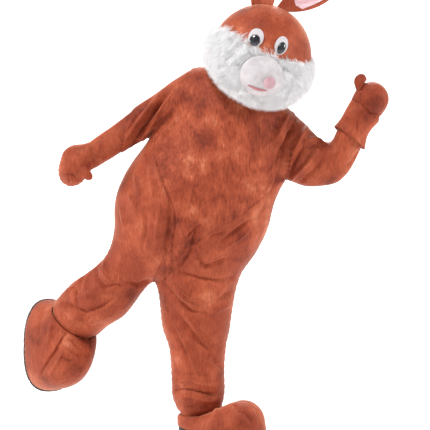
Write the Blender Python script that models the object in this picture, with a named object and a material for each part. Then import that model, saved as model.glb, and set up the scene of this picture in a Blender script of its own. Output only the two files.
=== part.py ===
"""Rabbit mascot costume, filled out as if worn: jumpsuit, head, two mitts and two boot covers.

Metres, +Z up, front faces -Y. Right and left are the wearer's, so right is at -X.
The origin is between the shoulders, where the wearer holds the costume up.
Each panel is a wall between seam curves. Its outer points are cast from inside a body form
built of round cones, and its inner points lie one cloth thickness in.
"""
import math
from collections import namedtuple

import bpy
import numpy as np

# Driving dimensions
CLOTH = 0.003
SEAM = 0.0003
FIT_GAP = 0.0006
NEST_GAP = 0.002
HEAD_SHELL = 0.008
BOOT_WALL = 0.005
MITT_WALL = 0.004
EAR_WALL = 0.004
LINING_WALL = 0.0025
FLOOR = -1.388
TORSO_TILT = math.radians(22)
BLEND = 0.008
# Share of the seam gap that each panel's edge stands back
DRAW_IN = 0.8
# Cosine between two edges of a panel below which their corner counts as flat
FLAT_CORNER = -0.8
# Which end of a seam's edge its diagonal starts from, the same for both panels that meet there
EDGE_SENSE = np.array([0.37, 0.11, 1.0])

# Counts of columns and rows in the panels
FRONT_COLUMNS = 8
BACK_COLUMNS = 8
SHOULDER_COLUMNS = 4
NECK_COLUMNS = 8
TORSO_ROWS = 11
LEG_ROWS = 10
ARMHOLE_POINTS = 16
SLEEVE_ROWS = 9
ZIP_HALF_WIDTH = 0.007
ZIP_ROWS = 14

# Zip slider and its pull tab
SLIDER_DROP = 0.010
SLIDER_WIDTH = 0.009
SLIDER_LENGTH = 0.011
SLIDER_LUG = 0.0015
SLIDER_RISE = 0.0045
SLIDER_FLOOR = 0.0013
TAB_LENGTH = 0.026

UP = np.array([math.sin(TORSO_TILT), 0.0, math.cos(TORSO_TILT)])
ACROSS = np.array([math.cos(TORSO_TILT), 0.0, -math.sin(TORSO_TILT)])
FRONT = np.array([0.0, -1.0, 0.0])
TORSO_MIDDLE = np.array([-0.197, 0.0, -0.430])

# A round cone runs between each two rows: centre x, y, z and radius there.
Limb = namedtuple("Limb", "depth rows")
TORSO = Limb(0.64, ((-0.235, 0.0, -0.505, 0.316),
                    (-0.212, 0.0, -0.465, 0.313),
                    (-0.112, 0.0, -0.2975, 0.268),
                    (-0.075, 0.0, -0.162, 0.243),
                    (-0.031, 0.0, -0.020, 0.105),
                    (0.000, 0.0, 0.058, 0.086)))
ARM_RIGHT = Limb(0.85, ((-0.195, 0.0, -0.011, 0.108),
                        (-0.271, 0.0, -0.053, 0.101),
                        (-0.361, -0.01, -0.098, 0.082),
                        (-0.435, -0.02, -0.139, 0.073),
                        (-0.600, -0.04, -0.235, 0.066)))
ARM_LEFT = Limb(0.85, ((-0.010, 0.0, -0.085, 0.100),
                       (0.125, 0.0, -0.212, 0.136),
                       (0.250, -0.01, -0.299, 0.105),
                       (0.328, -0.02, -0.307, 0.090),
                       (0.366, -0.03, -0.281, 0.074),
                       (0.396, -0.04, -0.236, 0.061),
                       (0.435, -0.06, -0.130, 0.060)))
LEG_RIGHT = Limb(0.88, ((-0.405, 0.0, -0.618, 0.150),
                        (-0.497, 0.03, -0.742, 0.103),
                        (-0.592, 0.08, -0.845, 0.120),
                        (-0.652, 0.11, -0.880, 0.119),
                        (-0.734, 0.16, -0.958, 0.115),
                        (-0.800, 0.20, -1.040, 0.105)))
LEG_LEFT = Limb(0.88, ((-0.176, 0.0, -0.677, 0.156),
                       (-0.209, 0.0, -0.800, 0.161),
                       (-0.213, 0.0, -0.947, 0.142),
                       (-0.205, 0.0, -1.046, 0.118),
                       (-0.205, 0.0, -1.156, 0.108),
                       (-0.203, 0.0, -1.230, 0.113),
                       (-0.199, 0.0, -1.290, 0.090),
                       (-0.197, 0.0, -1.420, 0.080)))
SUIT = (TORSO, ARM_RIGHT, ARM_LEFT, LEG_RIGHT, LEG_LEFT)

# Colour, roughness and metallic value of each finish
Finish = namedtuple("Finish", "colour rough metallic")
FINISHES = {
    "brown_plush": Finish((0.42, 0.10, 0.04), 0.75, 0.0),
    "brown_pile": Finish((0.48, 0.13, 0.06), 0.8, 0.0),
    "white_fur": Finish((0.90, 0.87, 0.88), 0.85, 0.0),
    "white_felt": Finish((0.88, 0.85, 0.85), 0.7, 0.0),
    "pink_satin": Finish((0.80, 0.60, 0.63), 0.35, 0.0),
    "pink_felt": Finish((0.80, 0.55, 0.56), 0.6, 0.0),
    "black_rubber": Finish((0.015, 0.014, 0.014), 0.5, 0.0),
    "dark_plastic": Finish((0.03, 0.03, 0.035), 0.25, 0.0),
    "brown_tape": Finish((0.10, 0.035, 0.02), 0.7, 0.0),
    "brass": Finish((0.55, 0.38, 0.16), 0.35, 1.0),
}


def unit(vectors):
    return vectors / np.linalg.norm(vectors, axis=-1, keepdims=True)


def limb_distance(points, limb):
    """Distance to the round cones of a limb, in a space squeezed from front to back."""
    squeeze = np.array([1.0, 1.0 / limb.depth, 1.0])
    scaled = points * squeeze
    nearest = np.full(points.shape[:-1], np.inf)
    for start, end in zip(limb.rows, limb.rows[1:]):
        first = np.array(start[:3]) * squeeze
        along = np.array(end[:3]) * squeeze - first
        share = np.clip((scaled - first) @ along / (along @ along), 0.0, 1.0)
        centre = first + share[..., None] * along
        radius = start[3] + share * (end[3] - start[3])
        nearest = np.minimum(nearest, np.linalg.norm(scaled - centre, axis=-1) - radius)
    return nearest


def blended(limbs):
    """The smooth union of several limbs, as one function of points."""
    def field(points):
        total = np.zeros(points.shape[:-1])
        for limb in limbs:
            total += np.exp(-np.clip(limb_distance(points, limb), -0.4, 0.6) / BLEND)
        return -BLEND * np.log(total)
    return field


def cast(field, centres, directions, level=0.0):
    """Where rays from inside a field first reach a level of it."""
    ways = unit(directions)
    centres = np.broadcast_to(centres, ways.shape)
    reach = np.zeros(ways.shape[:-1])
    for _ in range(60):
        value = field(centres + reach[..., None] * ways) - level
        reach = reach - 0.6 * value
    return centres + reach[..., None] * ways


def normals(field, points):
    """The outward direction of a field at its points."""
    step = 0.002
    slopes = []
    for axis in np.eye(3) * step:
        slopes.append(field(points + axis) - field(points - axis))
    return unit(np.stack(slopes, axis=-1))


def slerp(first, last, share):
    """Directions turned from first to last by a share of the angle between them."""
    first = unit(first)
    last = unit(last)
    angle = np.arccos(np.clip(np.sum(first * last, axis=-1, keepdims=True), -1.0, 0.9999999))
    turned = np.sin((1 - share) * angle) * first + np.sin(share * angle) * last
    return unit(turned)


def resampled(points, count):
    """Points spread evenly along a curve through the given ones."""
    points = np.array(points, float)
    gaps = np.linalg.norm(np.diff(points, axis=0), axis=1)
    along = np.concatenate([[0.0], np.cumsum(gaps)])
    places = np.linspace(0.0, along[-1], count)
    return np.stack([np.interp(places, along, points[:, axis]) for axis in range(3)], axis=1)


def frame_of(normal):
    """The two directions of a ring's plane: to the front, and to the wearer's left."""
    forward = unit(FRONT - (FRONT @ normal) * normal)
    return forward, np.cross(normal, forward)


def angles_of(points, centre, normal):
    """Turn and lift of points seen from a centre: turn 0 is front, 90 degrees is to the left."""
    forward, side = frame_of(normal)
    offset = points - centre
    turn = np.arctan2(offset @ side, offset @ forward)
    lift = np.arctan2(offset @ normal, np.hypot(offset @ side, offset @ forward))
    return turn, lift


def way(turn, lift, normal):
    """The direction that angles_of reads as this turn and lift."""
    forward, side = frame_of(normal)
    turn = np.asarray(turn)[..., None]
    lift = np.asarray(lift)[..., None]
    return np.cos(lift) * (np.cos(turn) * forward + np.sin(turn) * side) + np.sin(lift) * normal


# Folds: a soft trough or ridge along a line on the cloth, seen from the front or the back.
Fold = namedtuple("Fold", "side x0 z0 x1 z1 width height")
FOLDS = (
    Fold("front", -0.320, -0.012, -0.478, -0.246, 0.022, -0.014),
    Fold("front", -0.296, -0.020, -0.450, -0.240, 0.020, 0.009),
    Fold("front", -0.344, -0.004, -0.512, -0.214, 0.022, 0.010),
    Fold("front", -0.304, -0.086, -0.394, -0.184, 0.018, -0.010),
    Fold("front", 0.207, -0.111, 0.127, -0.270, 0.022, -0.014),
    Fold("front", 0.246, -0.146, 0.150, -0.390, 0.020, 0.010),
    Fold("front", 0.225, -0.230, 0.156, -0.392, 0.014, -0.012),
    Fold("front", 0.283, -0.242, 0.172, -0.372, 0.022, 0.009),
    Fold("front", -0.430, -0.270, -0.388, -0.440, 0.020, 0.009),
    Fold("front", -0.464, -0.344, -0.436, -0.420, 0.018, 0.008),
    Fold("front", -0.488, -0.422, -0.462, -0.475, 0.018, 0.008),
    Fold("front", -0.521, -0.475, -0.508, -0.550, 0.018, 0.008),
    Fold("front", -0.320, -0.463, -0.312, -0.726, 0.018, -0.010),
    Fold("front", -0.205, -0.557, -0.312, -0.746, 0.018, -0.010),
    Fold("front", -0.111, -0.623, 0.012, -0.531, 0.018, -0.008),
    Fold("front", -0.322, -0.763, -0.166, -0.869, 0.024, 0.012),
    Fold("front", -0.300, -0.816, -0.200, -0.906, 0.020, 0.009),
    Fold("front", -0.312, -0.898, -0.152, -1.074, 0.022, -0.010),
    Fold("front", -0.322, -0.947, -0.234, -1.142, 0.018, -0.007),
    Fold("front", -0.307, -1.228, -0.152, -1.250, 0.016, -0.012),
    Fold("front", -0.590, -0.705, -0.570, -0.780, 0.020, 0.010),
    Fold("front", -0.648, -0.742, -0.672, -0.812, 0.018, -0.008),
    Fold("front", -0.779, -0.849, -0.726, -0.885, 0.018, -0.010),
    Fold("front", -0.660, -0.910, -0.549, -0.849, 0.020, -0.010),
    Fold("back", -0.330, -0.030, -0.480, -0.230, 0.024, -0.012),
    Fold("back", 0.215, -0.140, 0.140, -0.350, 0.024, -0.012),
    Fold("back", -0.250, -0.120, 0.020, -0.230, 0.030, -0.008),
    Fold("back", -0.430, -0.560, -0.260, -0.660, 0.026, -0.010),
    Fold("back", -0.060, -0.590, -0.230, -0.680, 0.026, -0.010),
    Fold("back", -0.320, -0.800, -0.130, -0.880, 0.024, 0.010),
    Fold("back", -0.310, -0.960, -0.120, -0.925, 0.022, -0.011),
    Fold("back", -0.305, -1.010, -0.110, -1.060, 0.022, 0.009),
    Fold("back", -0.300, -1.225, -0.120, -1.240, 0.018, -0.011),
    Fold("back", -0.560, -0.740, -0.490, -0.850, 0.024, -0.010),
    Fold("back", -0.700, -0.840, -0.600, -0.930, 0.022, 0.010),
)


def fold_height(points, facing):
    """How far the folds lift the cloth at these points."""
    height = np.zeros(points.shape[:-1])
    flat = points[..., (0, 2)]
    for fold in FOLDS:
        start = np.array([fold.x0, fold.z0])
        along = np.array([fold.x1, fold.z1]) - start
        share = np.clip((flat - start) @ along / (along @ along), 0.0, 1.0)
        gap = np.linalg.norm(flat - start - share[..., None] * along, axis=-1)
        shows = -facing[..., 1] if fold.side == "front" else facing[..., 1]
        fade = np.clip(shows * 2.0, 0.0, 1.0)
        taper = 0.35 + 0.65 * np.sin(math.pi * np.clip(share, 0.0, 1.0))
        height += fold.height * fade * taper * np.exp(-(gap / fold.width) ** 2)
    return height


def grid_facing(grid, closed):
    """The directions square to a grid of points; their sign is the grid's own."""
    along = np.gradient(grid, axis=0)
    around = np.roll(grid, -1, axis=1) - np.roll(grid, 1, axis=1)
    if not closed:
        around = np.gradient(grid, axis=1)
    return unit(np.cross(along, around))


def wall(outer, field, thick, folded=False, stand=None):
    """Outer and inner points of a cloth wall, with its folds.

    The inner points lie in against the given directions, or against the field's own.
    """
    facing = normals(field, outer)
    if folded:
        outer = outer + facing * fold_height(outer, facing)[..., None]
    return outer, outer - (facing if stand is None else stand) * thick


def finish(name):
    """The named material, made once."""
    if name in bpy.data.materials:
        return bpy.data.materials[name]
    material = bpy.data.materials.new(name)
    material.use_nodes = True
    shader = material.node_tree.nodes["Principled BSDF"]
    shader.inputs["Base Color"].default_value = (*FINISHES[name].colour, 1.0)
    shader.inputs["Roughness"].default_value = FINISHES[name].rough
    shader.inputs["Metallic"].default_value = FINISHES[name].metallic
    return material


def add_body(name, points, faces, material, origin=(0.0, 0.0, 0.0)):
    """An object from points and faces, turned so that its faces point out."""
    points = np.array(points, float)
    volume = 0.0
    for face in faces:
        for one, two in zip(face[1:-1], face[2:]):
            volume += np.dot(points[face[0]], np.cross(points[one], points[two]))
    if volume < 0:
        faces = [face[::-1] for face in faces]
    mesh = bpy.data.meshes.new(name)
    mesh.from_pydata((points - np.array(origin)).tolist(), [], faces)
    mesh.validate()
    mesh.shade_smooth()
    mesh.set_sharp_from_angle(angle=math.radians(50))
    mesh.materials.append(finish(material))
    body = bpy.data.objects.new(name, mesh)
    body.location = origin
    bpy.context.scene.collection.objects.link(body)
    return body


def drawn_in(outer, inner, sides):
    """Both faces of a wall with the named edges drawn in by half a seam gap."""
    half = SEAM * DRAW_IN
    depth = unit(outer - inner)
    moves = np.zeros(outer.shape)
    edges = {"first_row": ((0, slice(None)), (1, slice(None))),
             "last_row": ((-1, slice(None)), (-2, slice(None))),
             "first_column": ((slice(None), 0), (slice(None), 1)),
             "last_column": ((slice(None), -1), (slice(None), -2))}
    for side in sides:
        edge, beside = edges[side]
        run = unit(np.gradient(outer[edge], axis=0))
        moves[edge] += half * unit(without(without(outer[beside] - outer[edge], depth[edge]), run))
    for row, column in ((0, 0), (0, -1), (-1, 0), (-1, -1)):
        ends = ("last_row" if row else "first_row", "last_column" if column else "first_column")
        one = outer[-2 if row else 1, column] - outer[row, column]
        two = outer[row, -2 if column else 1] - outer[row, column]
        if ends[0] in sides and ends[1] in sides and unit(one) @ unit(two) < FLAT_CORNER:
            beside = outer[-2 if row else 1, -2 if column else 1]
            push = without(beside - outer[row, column], depth[row, column])
            moves[row, column] = 2 * half * unit(push)
    return outer + moves, inner + moves


def without(vectors, axes):
    """Vectors less their share along the given directions."""
    return vectors - np.sum(vectors * axes, axis=-1, keepdims=True) * axes


def edge_faces(points, one, two, size):
    """The two faces between the outer and the inner edge of a wall."""
    if (points[one] - points[two]) @ EDGE_SENSE > 0:
        return [[one, two, size + two], [one, size + two, size + one]]
    return [[one, two, size + one], [two, size + two, size + one]]


def panel(name, outer, inner, material, closed=False, tip=None):
    """A wall from two grids of points: open, closed round, or closed round with a tip."""
    rows, columns = outer.shape[:2]
    size = rows * columns
    points = np.concatenate([outer.reshape(-1, 3), inner.reshape(-1, 3)])
    spans = columns if closed else columns - 1
    faces = []
    for row in range(rows - 1):
        for column in range(spans):
            after = (column + 1) % columns
            a = row * columns + column
            b = row * columns + after
            c = (row + 1) * columns + after
            d = (row + 1) * columns + column
            if not closed and (row < (rows - 1) / 2) != (column < spans / 2):
                a, b, c, d = b, c, d, a
            faces += [[a, b, c], [a, c, d]]
            faces += [[size + a, size + c, size + b], [size + a, size + d, size + c]]
    last = (rows - 1) * columns
    for column in range(spans):
        after = (column + 1) % columns
        faces += edge_faces(points, after, column, size)
        if tip is None:
            faces += edge_faces(points, last + column, last + after, size)
        else:
            faces.append([last + column, last + after, 2 * size])
            faces.append([size + last + after, size + last + column, 2 * size + 1])
    if not closed:
        for row in range(rows - 1):
            a = row * columns
            d = a + columns
            faces += edge_faces(points, a, d, size)
            faces += edge_faces(points, d + columns - 1, a + columns - 1, size)
    if tip is not None:
        points = np.concatenate([points, np.array(tip)])
    return add_body(name, points, faces, material)


def cloth_panel(name, outer, field, thick, material, folded=False, sides=None, stand=None):
    """An open panel with all its edges drawn in."""
    outer, inner = wall(outer, field, thick, folded, stand)
    all_sides = ("first_row", "last_row", "first_column", "last_column")
    outer, inner = drawn_in(outer, inner, sides or all_sides)
    panel(name, outer, inner, material)
    return outer, inner


suit_field = blended(SUIT)
trunk_field = blended((TORSO, LEG_RIGHT, LEG_LEFT))
leg_fields = {"right": blended((LEG_RIGHT,)), "left": blended((LEG_LEFT,))}
arm_fields = {"right": blended((ARM_RIGHT,)), "left": blended((ARM_LEFT,))}


# Rings of the armholes and sleeves: centre x, y, z and the front-view direction of "down", degrees
# from straight down towards the wearer's left.
Ring = namedtuple("Ring", "x y z down")
SLEEVE_RIGHT = (Ring(-0.316, 0.0, -0.055, -31.0),
                Ring(-0.355, 0.0, -0.080, -30.0),
                Ring(-0.387, -0.005, -0.103, -26.0),
                Ring(-0.423, -0.01, -0.127, -21.0),
                Ring(-0.459, -0.02, -0.152, -17.0),
                Ring(-0.494, -0.03, -0.170, -14.0))
SLEEVE_LEFT = (Ring(0.172, 0.0, -0.246, -9.0),
               Ring(0.215, 0.0, -0.275, -8.0),
               Ring(0.262, -0.01, -0.298, -3.0),
               Ring(0.312, -0.02, -0.303, 4.0),
               Ring(0.350, -0.03, -0.296, 14.0),
               Ring(0.388, -0.04, -0.248, 38.0),
               Ring(0.408, -0.045, -0.205, 52.0),
               Ring(0.425, -0.05, -0.165, 60.0))


def ring_ways(ring, count):
    """Directions round a sleeve ring from straight down, by the front, and back to down."""
    lean = math.radians(ring.down)
    down = np.array([math.sin(lean), 0.0, -math.cos(lean)])
    turn = np.linspace(0.0, 2 * math.pi, count, endpoint=False)[:, None]
    return np.cos(turn) * down + np.sin(turn) * FRONT


def sleeve_rings(rings, count):
    """Rings spread evenly along a sleeve, from the short list of its sections."""
    table = np.array(rings, float)
    steps = np.linalg.norm(np.diff(table[:, :3], axis=0), axis=1)
    along = np.concatenate([[0.0], np.cumsum(steps)])
    places = np.linspace(0.0, along[-1], count)
    spread = [np.interp(places, along, table[:, column]) for column in range(4)]
    return [Ring(*values) for values in zip(*spread)]


def sleeve_points(rings, arm_field):
    """The sleeve's outer grid: the armhole on the suit, then one row on the arm for each ring."""
    rows = []
    for ring in rings:
        centre = np.array([ring.x, ring.y, ring.z])
        rows.append(cast(arm_field if rows else suit_field, centre, ring_ways(ring, ARMHOLE_POINTS)))
    return np.array(rows)


# Rows of the trunk and the legs: centre x, y, z and the front-view lean of the ring, degrees,
# positive where the wearer's left side is lower; back is how far the ring's normal turns back.
Level = namedtuple("Level", "x y z lean back")
TRUNK_TOP = Level(-0.125, 0.0, -0.262, 22.0, 0.0)
TRUNK_WAIST = Level(-0.212, 0.0, -0.478, 22.0, 0.0)
LEG_LEVELS = {
    "right": (Level(-0.470, 0.010, -0.735, 20.0, 3.0),
              Level(-0.505, 0.035, -0.788, 30.0, 10.0),
              Level(-0.592, 0.080, -0.845, 30.0, 14.0),
              Level(-0.652, 0.110, -0.885, 34.0, 18.0),
              Level(-0.727, 0.155, -0.948, 36.0, 22.0)),
    "left": (Level(-0.205, 0.0, -0.755, -5.0, 0.0),
             Level(-0.209, 0.0, -0.850, 0.0, 0.0),
             Level(-0.212, 0.0, -0.947, 0.0, 0.0),
             Level(-0.205, 0.0, -1.046, 0.0, 0.0),
             Level(-0.205, 0.0, -1.156, 0.0, 0.0),
             Level(-0.203, 0.0, -1.230, 0.0, 0.0),
             Level(-0.198, 0.0, -1.312, 0.0, 0.0)),
}
SIDE_SIGN = {"right": -1.0, "left": 1.0}
# How far the side seam's rays point down below the arm, where they would meet the sleeve
UNDERARM_DROP = {"right": math.radians(14), "left": 0.0}

# The bib's edge on each side: distance across from the trunk's middle line, and height along it
BIB_EDGE = {
    "right": ((-0.176, 0.009), (-0.130, -0.039), (-0.085, -0.097), (-0.052, -0.150), (-0.034, -0.225)),
    "left": ((0.205, 0.009), (0.165, -0.045), (0.118, -0.100), (0.078, -0.155), (0.045, -0.225)),
}
CROTCH = np.array([-0.380, -0.010, -0.775])
CROTCH_HALF = 0.006
HIP_CENTRE = np.array([-0.300, 0.0, -0.620])
NECK_CENTRE = np.array([-0.005, 0.0, 0.050])
NECK_SIDE_TURN = math.radians(80)
# How late the shape of the neck and shoulder seams is faded in up the back
TOP_FADE = 1.6


def level_normal(level):
    """The upward normal of a ring with its lean and its turn to the back."""
    lean = math.radians(level.lean)
    back = math.radians(level.back)
    return unit(np.array([math.sin(lean), -math.tan(back), math.cos(lean)]))


def spread_levels(levels, count):
    """Levels spread evenly from the first to the last of a short list."""
    table = np.array(levels, float)
    steps = np.linalg.norm(np.diff(table[:, :3], axis=0), axis=1)
    along = np.concatenate([[0.0], np.cumsum(steps)])
    places = np.linspace(0.0, along[-1], count)
    spread = [np.interp(places, along, table[:, column]) for column in range(5)]
    return [Level(*values) for values in zip(*spread)]


def side_levels(side):
    """The levels of one side from the underarm to the hem."""
    trunk = spread_levels((TRUNK_TOP, TRUNK_WAIST, LEG_LEVELS[side][0]), TORSO_ROWS + 1)
    leg = spread_levels(LEG_LEVELS[side], LEG_ROWS + 1)
    return trunk + leg[1:]


def settled(field, points):
    """Points moved to the nearest place on a field's surface."""
    for _ in range(25):
        points = points - normals(field, points) * field(points)[..., None] * 0.7
    return points


def leg_point(side, level, turn):
    """A place on the leg in one direction from its middle."""
    point = cast(leg_fields[side], np.array(level[:3]), way(turn, 0.0, level_normal(level)))
    return settled(trunk_field, point)


def leg_row(side, level, first, last, columns, by_back):
    """Points round half of a leg at one level, by its front or by its back."""
    centre = np.array(level[:3])
    normal = level_normal(level)
    turns, lifts = angles_of(np.array([first, last]), centre, normal)
    end = turns[1]
    if by_back:
        end += SIDE_SIGN[side] * 2 * math.pi
    share = np.linspace(0.0, 1.0, columns + 1)
    turn = turns[0] + share * (end - turns[0])
    lift = lifts[0] + share * (lifts[1] - lifts[0])
    row = settled(trunk_field, cast(leg_fields[side], centre, way(turn, lift, normal)))
    row[0] = first
    row[-1] = last
    return row


def between(first, last, left, right, levels):
    """A grid on the trunk between its first and last rows and its two side edges."""
    rows = np.linspace(0.0, 1.0, len(left))[:, None, None]
    columns = np.linspace(0.0, 1.0, len(first))[None, :, None]
    across = (1 - rows) * first[None] + rows * last[None]
    down = (1 - columns) * left[:, None] + columns * right[:, None]
    corners = ((1 - rows) * (1 - columns) * first[0] + (1 - rows) * columns * first[-1]
               + rows * (1 - columns) * last[0] + rows * columns * last[-1])
    grid = across + down - corners
    centres = np.array([level[:3] for level in levels])[:, None]
    grid = cast(trunk_field, grid, grid - centres)
    grid[0] = first
    grid[-1] = last
    grid[:, 0] = left
    grid[:, -1] = right
    return grid


def trunk_point(across, along, forward=True):
    """The trunk's surface straight before or behind a place on its middle plane."""
    start = TORSO_MIDDLE + across * ACROSS + along * UP
    return cast(trunk_field, start, FRONT if forward else -FRONT)


def bib_edge(side, underarm):
    """The bib seam from the underarm to the crotch, one point for each trunk row."""
    curve = [underarm]
    for across, along in BIB_EDGE[side]:
        curve.append(trunk_point(across, along))
    corner = crotch_corner(side)
    last = curve[-1]
    for share in (0.3, 0.6, 0.85):
        turned = slerp(last - HIP_CENTRE, corner - HIP_CENTRE, share)
        curve.append(cast(trunk_field, HIP_CENTRE, turned))
    curve.append(corner)
    even = resampled(curve, TORSO_ROWS + 1)
    levels = side_levels(side)[:TORSO_ROWS + 1]
    for index in range(1, TORSO_ROWS):
        centre = np.array(levels[index][:3])
        even[index] = cast(trunk_field, centre, even[index] - centre)
    return even


def crotch_corner(side):
    """Where the bib seam, the inseam and the back meet between the legs."""
    place = CROTCH + np.array([SIDE_SIGN[side] * CROTCH_HALF, 0.0, 0.0])
    return cast(trunk_field, HIP_CENTRE, place - HIP_CENTRE)


def crotch_middle():
    return (crotch_corner("right") + crotch_corner("left")) / 2


def side_seam(side, armhole):
    """The side seam from the underarm to the hem."""
    points = [armhole[0]]
    turn = SIDE_SIGN[side] * math.radians(92)
    for index, level in enumerate(side_levels(side)[1:], start=1):
        if index >= TORSO_ROWS:
            points.append(leg_point(side, level, turn))
            continue
        lift = -UNDERARM_DROP[side] * (1.0 - index / TORSO_ROWS)
        points.append(cast(trunk_field, np.array(level[:3]), way(turn, lift, level_normal(level))))
    return np.array(points)


def inseam(side):
    """The inseam from the crotch corner to the hem."""
    points = [crotch_corner(side)]
    for level in side_levels(side)[TORSO_ROWS + 1:]:
        points.append(leg_point(side, level, -SIDE_SIGN[side] * math.radians(88)))
    return np.array(points)


def back_seam(offset):
    """The centre-back line from the neck to the crotch, moved sideways by offset."""
    start = NECK_CENTRE
    points = [cast(suit_field, start, -FRONT + ACROSS * offset / 0.08)]
    heights = np.linspace(0.44, -0.22, ARMHOLE_POINTS // 2 + TORSO_ROWS - 3)
    for height in heights:
        points.append(trunk_point(offset, height, forward=False))
    last = points[-1]
    end = crotch_middle()
    for share in (0.3, 0.6, 0.85):
        turned = slerp(last - HIP_CENTRE, end - HIP_CENTRE, share)
        points.append(cast(trunk_field, HIP_CENTRE, turned))
    points.append(end)
    return resampled(points, ARMHOLE_POINTS // 2 + TORSO_ROWS)


def top_edges(armhole, side):
    """Shoulder seam from the armhole to the neck on one side."""
    sign = SIDE_SIGN[side]
    neck = cast(suit_field, NECK_CENTRE, way(sign * NECK_SIDE_TURN, 0.0, UP))
    top = armhole[ARMHOLE_POINTS // 2]
    chest = TORSO_MIDDLE + 0.30 * UP
    share = np.linspace(0.0, 1.0, SHOULDER_COLUMNS + 1)[:, None]
    seam = cast(suit_field, chest, slerp(top - chest, neck - chest, share))
    seam[0] = top
    seam[-1] = neck
    return seam


def chest_rows(left_edge, right_edge, top, levels, columns):
    """The bib's rows from the underarms up to a shaped top edge, faded in row by row."""
    rows = []
    top_level = levels[-1]
    centre = np.array(top_level[:3])
    normal = level_normal(top_level)
    turns, lifts = angles_of(top, centre, normal)
    turns = np.unwrap(turns)
    share = np.linspace(0.0, 1.0, columns + 1)
    plain_turn = turns[0] + share * (turns[-1] - turns[0])
    plain_lift = lifts[0] + share * (lifts[-1] - lifts[0])
    count = len(left_edge)
    for index in range(count - 1):
        fade = index / (count - 1)
        level = levels[index]
        centre = np.array(level[:3])
        normal = level_normal(level)
        ends, heights = angles_of(np.array([left_edge[index], right_edge[index]]), centre, normal)
        turn = ends[0] + share * (ends[1] - ends[0]) + fade * (turns - plain_turn)
        lift = heights[0] + share * (heights[1] - heights[0]) + fade * (lifts - plain_lift)
        row = cast(suit_field, centre, way(turn, lift, normal))
        row[0] = left_edge[index]
        row[-1] = right_edge[index]
        rows.append(row)
    rows.append(top)
    return np.array(rows)


def chest_levels(count):
    """Levels from the underarm to the top, all above the same line of the trunk."""
    end = TORSO_MIDDLE + 0.30 * UP
    return spread_levels((TRUNK_TOP, Level(*end, 22.0, 0.0)), count)


def build_suit():
    """The jumpsuit's panels and sleeves. Returns what the mitts and boots are fitted to."""
    half = ARMHOLE_POINTS // 2
    sleeves = {}
    armholes = {}
    for side, table in (("right", SLEEVE_RIGHT), ("left", SLEEVE_LEFT)):
        rings = sleeve_rings(table, SLEEVE_ROWS + 1)
        points = sleeve_points(rings, arm_fields[side])
        armholes[side] = points[0]
        stand = normals(arm_fields[side], points)
        outer, inner = wall(points, suit_field, CLOTH, folded=True, stand=stand)
        outer, inner = drawn_in(outer, inner, ("first_row", "last_row"))
        panel("sleeve_" + side, outer, inner, "brown_plush", closed=True)
        sleeves[side] = (rings, outer, inner)
    edges = {side: bib_edge(side, armholes[side][1]) for side in armholes}
    seams = {side: side_seam(side, armholes[side]) for side in armholes}
    inner_seams = {side: inseam(side) for side in armholes}
    shoulders = {side: top_edges(armholes[side], side) for side in armholes}
    build_bib(armholes, edges, shoulders, half)
    hems = {}
    for side in ("right", "left"):
        front = build_front(side, armholes[side], edges[side], seams[side], inner_seams[side])
        back = build_back(side, armholes[side], seams[side], inner_seams[side], shoulders[side], half)
        hems[side] = (front, back)
    build_zip()
    return sleeves, hems


def build_bib(armholes, edges, shoulders, half):
    """The bib: crotch to underarms between the bib seams, then up between the armholes."""
    columns = 2 * SHOULDER_COLUMNS + NECK_COLUMNS
    right = edges["right"][::-1]
    left = edges["left"][::-1]
    rise_right = armholes["right"][1:half + 1]
    rise_left = armholes["left"][1:half + 1]
    turns = np.linspace(-NECK_SIDE_TURN, NECK_SIDE_TURN, NECK_COLUMNS + 1)
    neckline = cast(suit_field, NECK_CENTRE, way(turns, np.zeros(len(turns)), UP))
    top = np.concatenate([shoulders["right"][:-1], neckline, shoulders["left"][::-1][1:]])
    upper = chest_rows(rise_right, rise_left, top, chest_levels(half), columns)
    crotch = right[0] + np.linspace(0.0, 1.0, columns + 1)[:, None] * (left[0] - right[0])
    levels = spread_levels((Level(*HIP_CENTRE, 22.0, 0.0), TRUNK_WAIST, TRUNK_TOP), TORSO_ROWS + 1)
    lower = between(crotch, upper[0], right, left, levels)
    grid = np.concatenate([lower[:-1], upper])
    stand = body_stand(grid, np.arange(len(grid)) - TORSO_ROWS)
    cloth_panel("suit_bib", grid, suit_field, CLOTH, "brown_pile", folded=True, stand=stand)


def build_front(side, armhole, edge, seam, inner_seam):
    """Front side and leg: from the side seam to the bib seam and the inseam."""
    share = np.linspace(0.0, 1.0, FRONT_COLUMNS + 1)[:, None]
    first = armhole[0] + share * (armhole[1] - armhole[0])
    legs = leg_rows(side, seam, inner_seam, FRONT_COLUMNS, False)
    trunk = between(first, legs[0], seam[:TORSO_ROWS + 1], edge, side_levels(side)[:TORSO_ROWS + 1])
    grid = np.concatenate([trunk, legs[1:]])
    stand = normals(trunk_field, grid)
    return cloth_panel("suit_front_" + side, grid, suit_field, CLOTH, "brown_plush", folded=True, stand=stand)


def body_stand(grid, above):
    """Directions that a body panel's wall stands on: the trunk's up to the underarm, then the suit's."""
    share = np.clip(np.asarray(above, float) / 2, 0.0, 1.0)[:, None, None]
    return unit(normals(trunk_field, grid) * (1 - share) + normals(suit_field, grid) * share)


def leg_rows(side, seam, inner_seam, columns, by_back):
    """Rows of half a leg from the crotch to the hem."""
    levels = side_levels(side)[TORSO_ROWS:]
    outer_seam = seam[TORSO_ROWS:]
    return np.array([leg_row(side, level, outer_seam[index], inner_seam[index], columns, by_back)
                     for index, level in enumerate(levels)])


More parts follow.
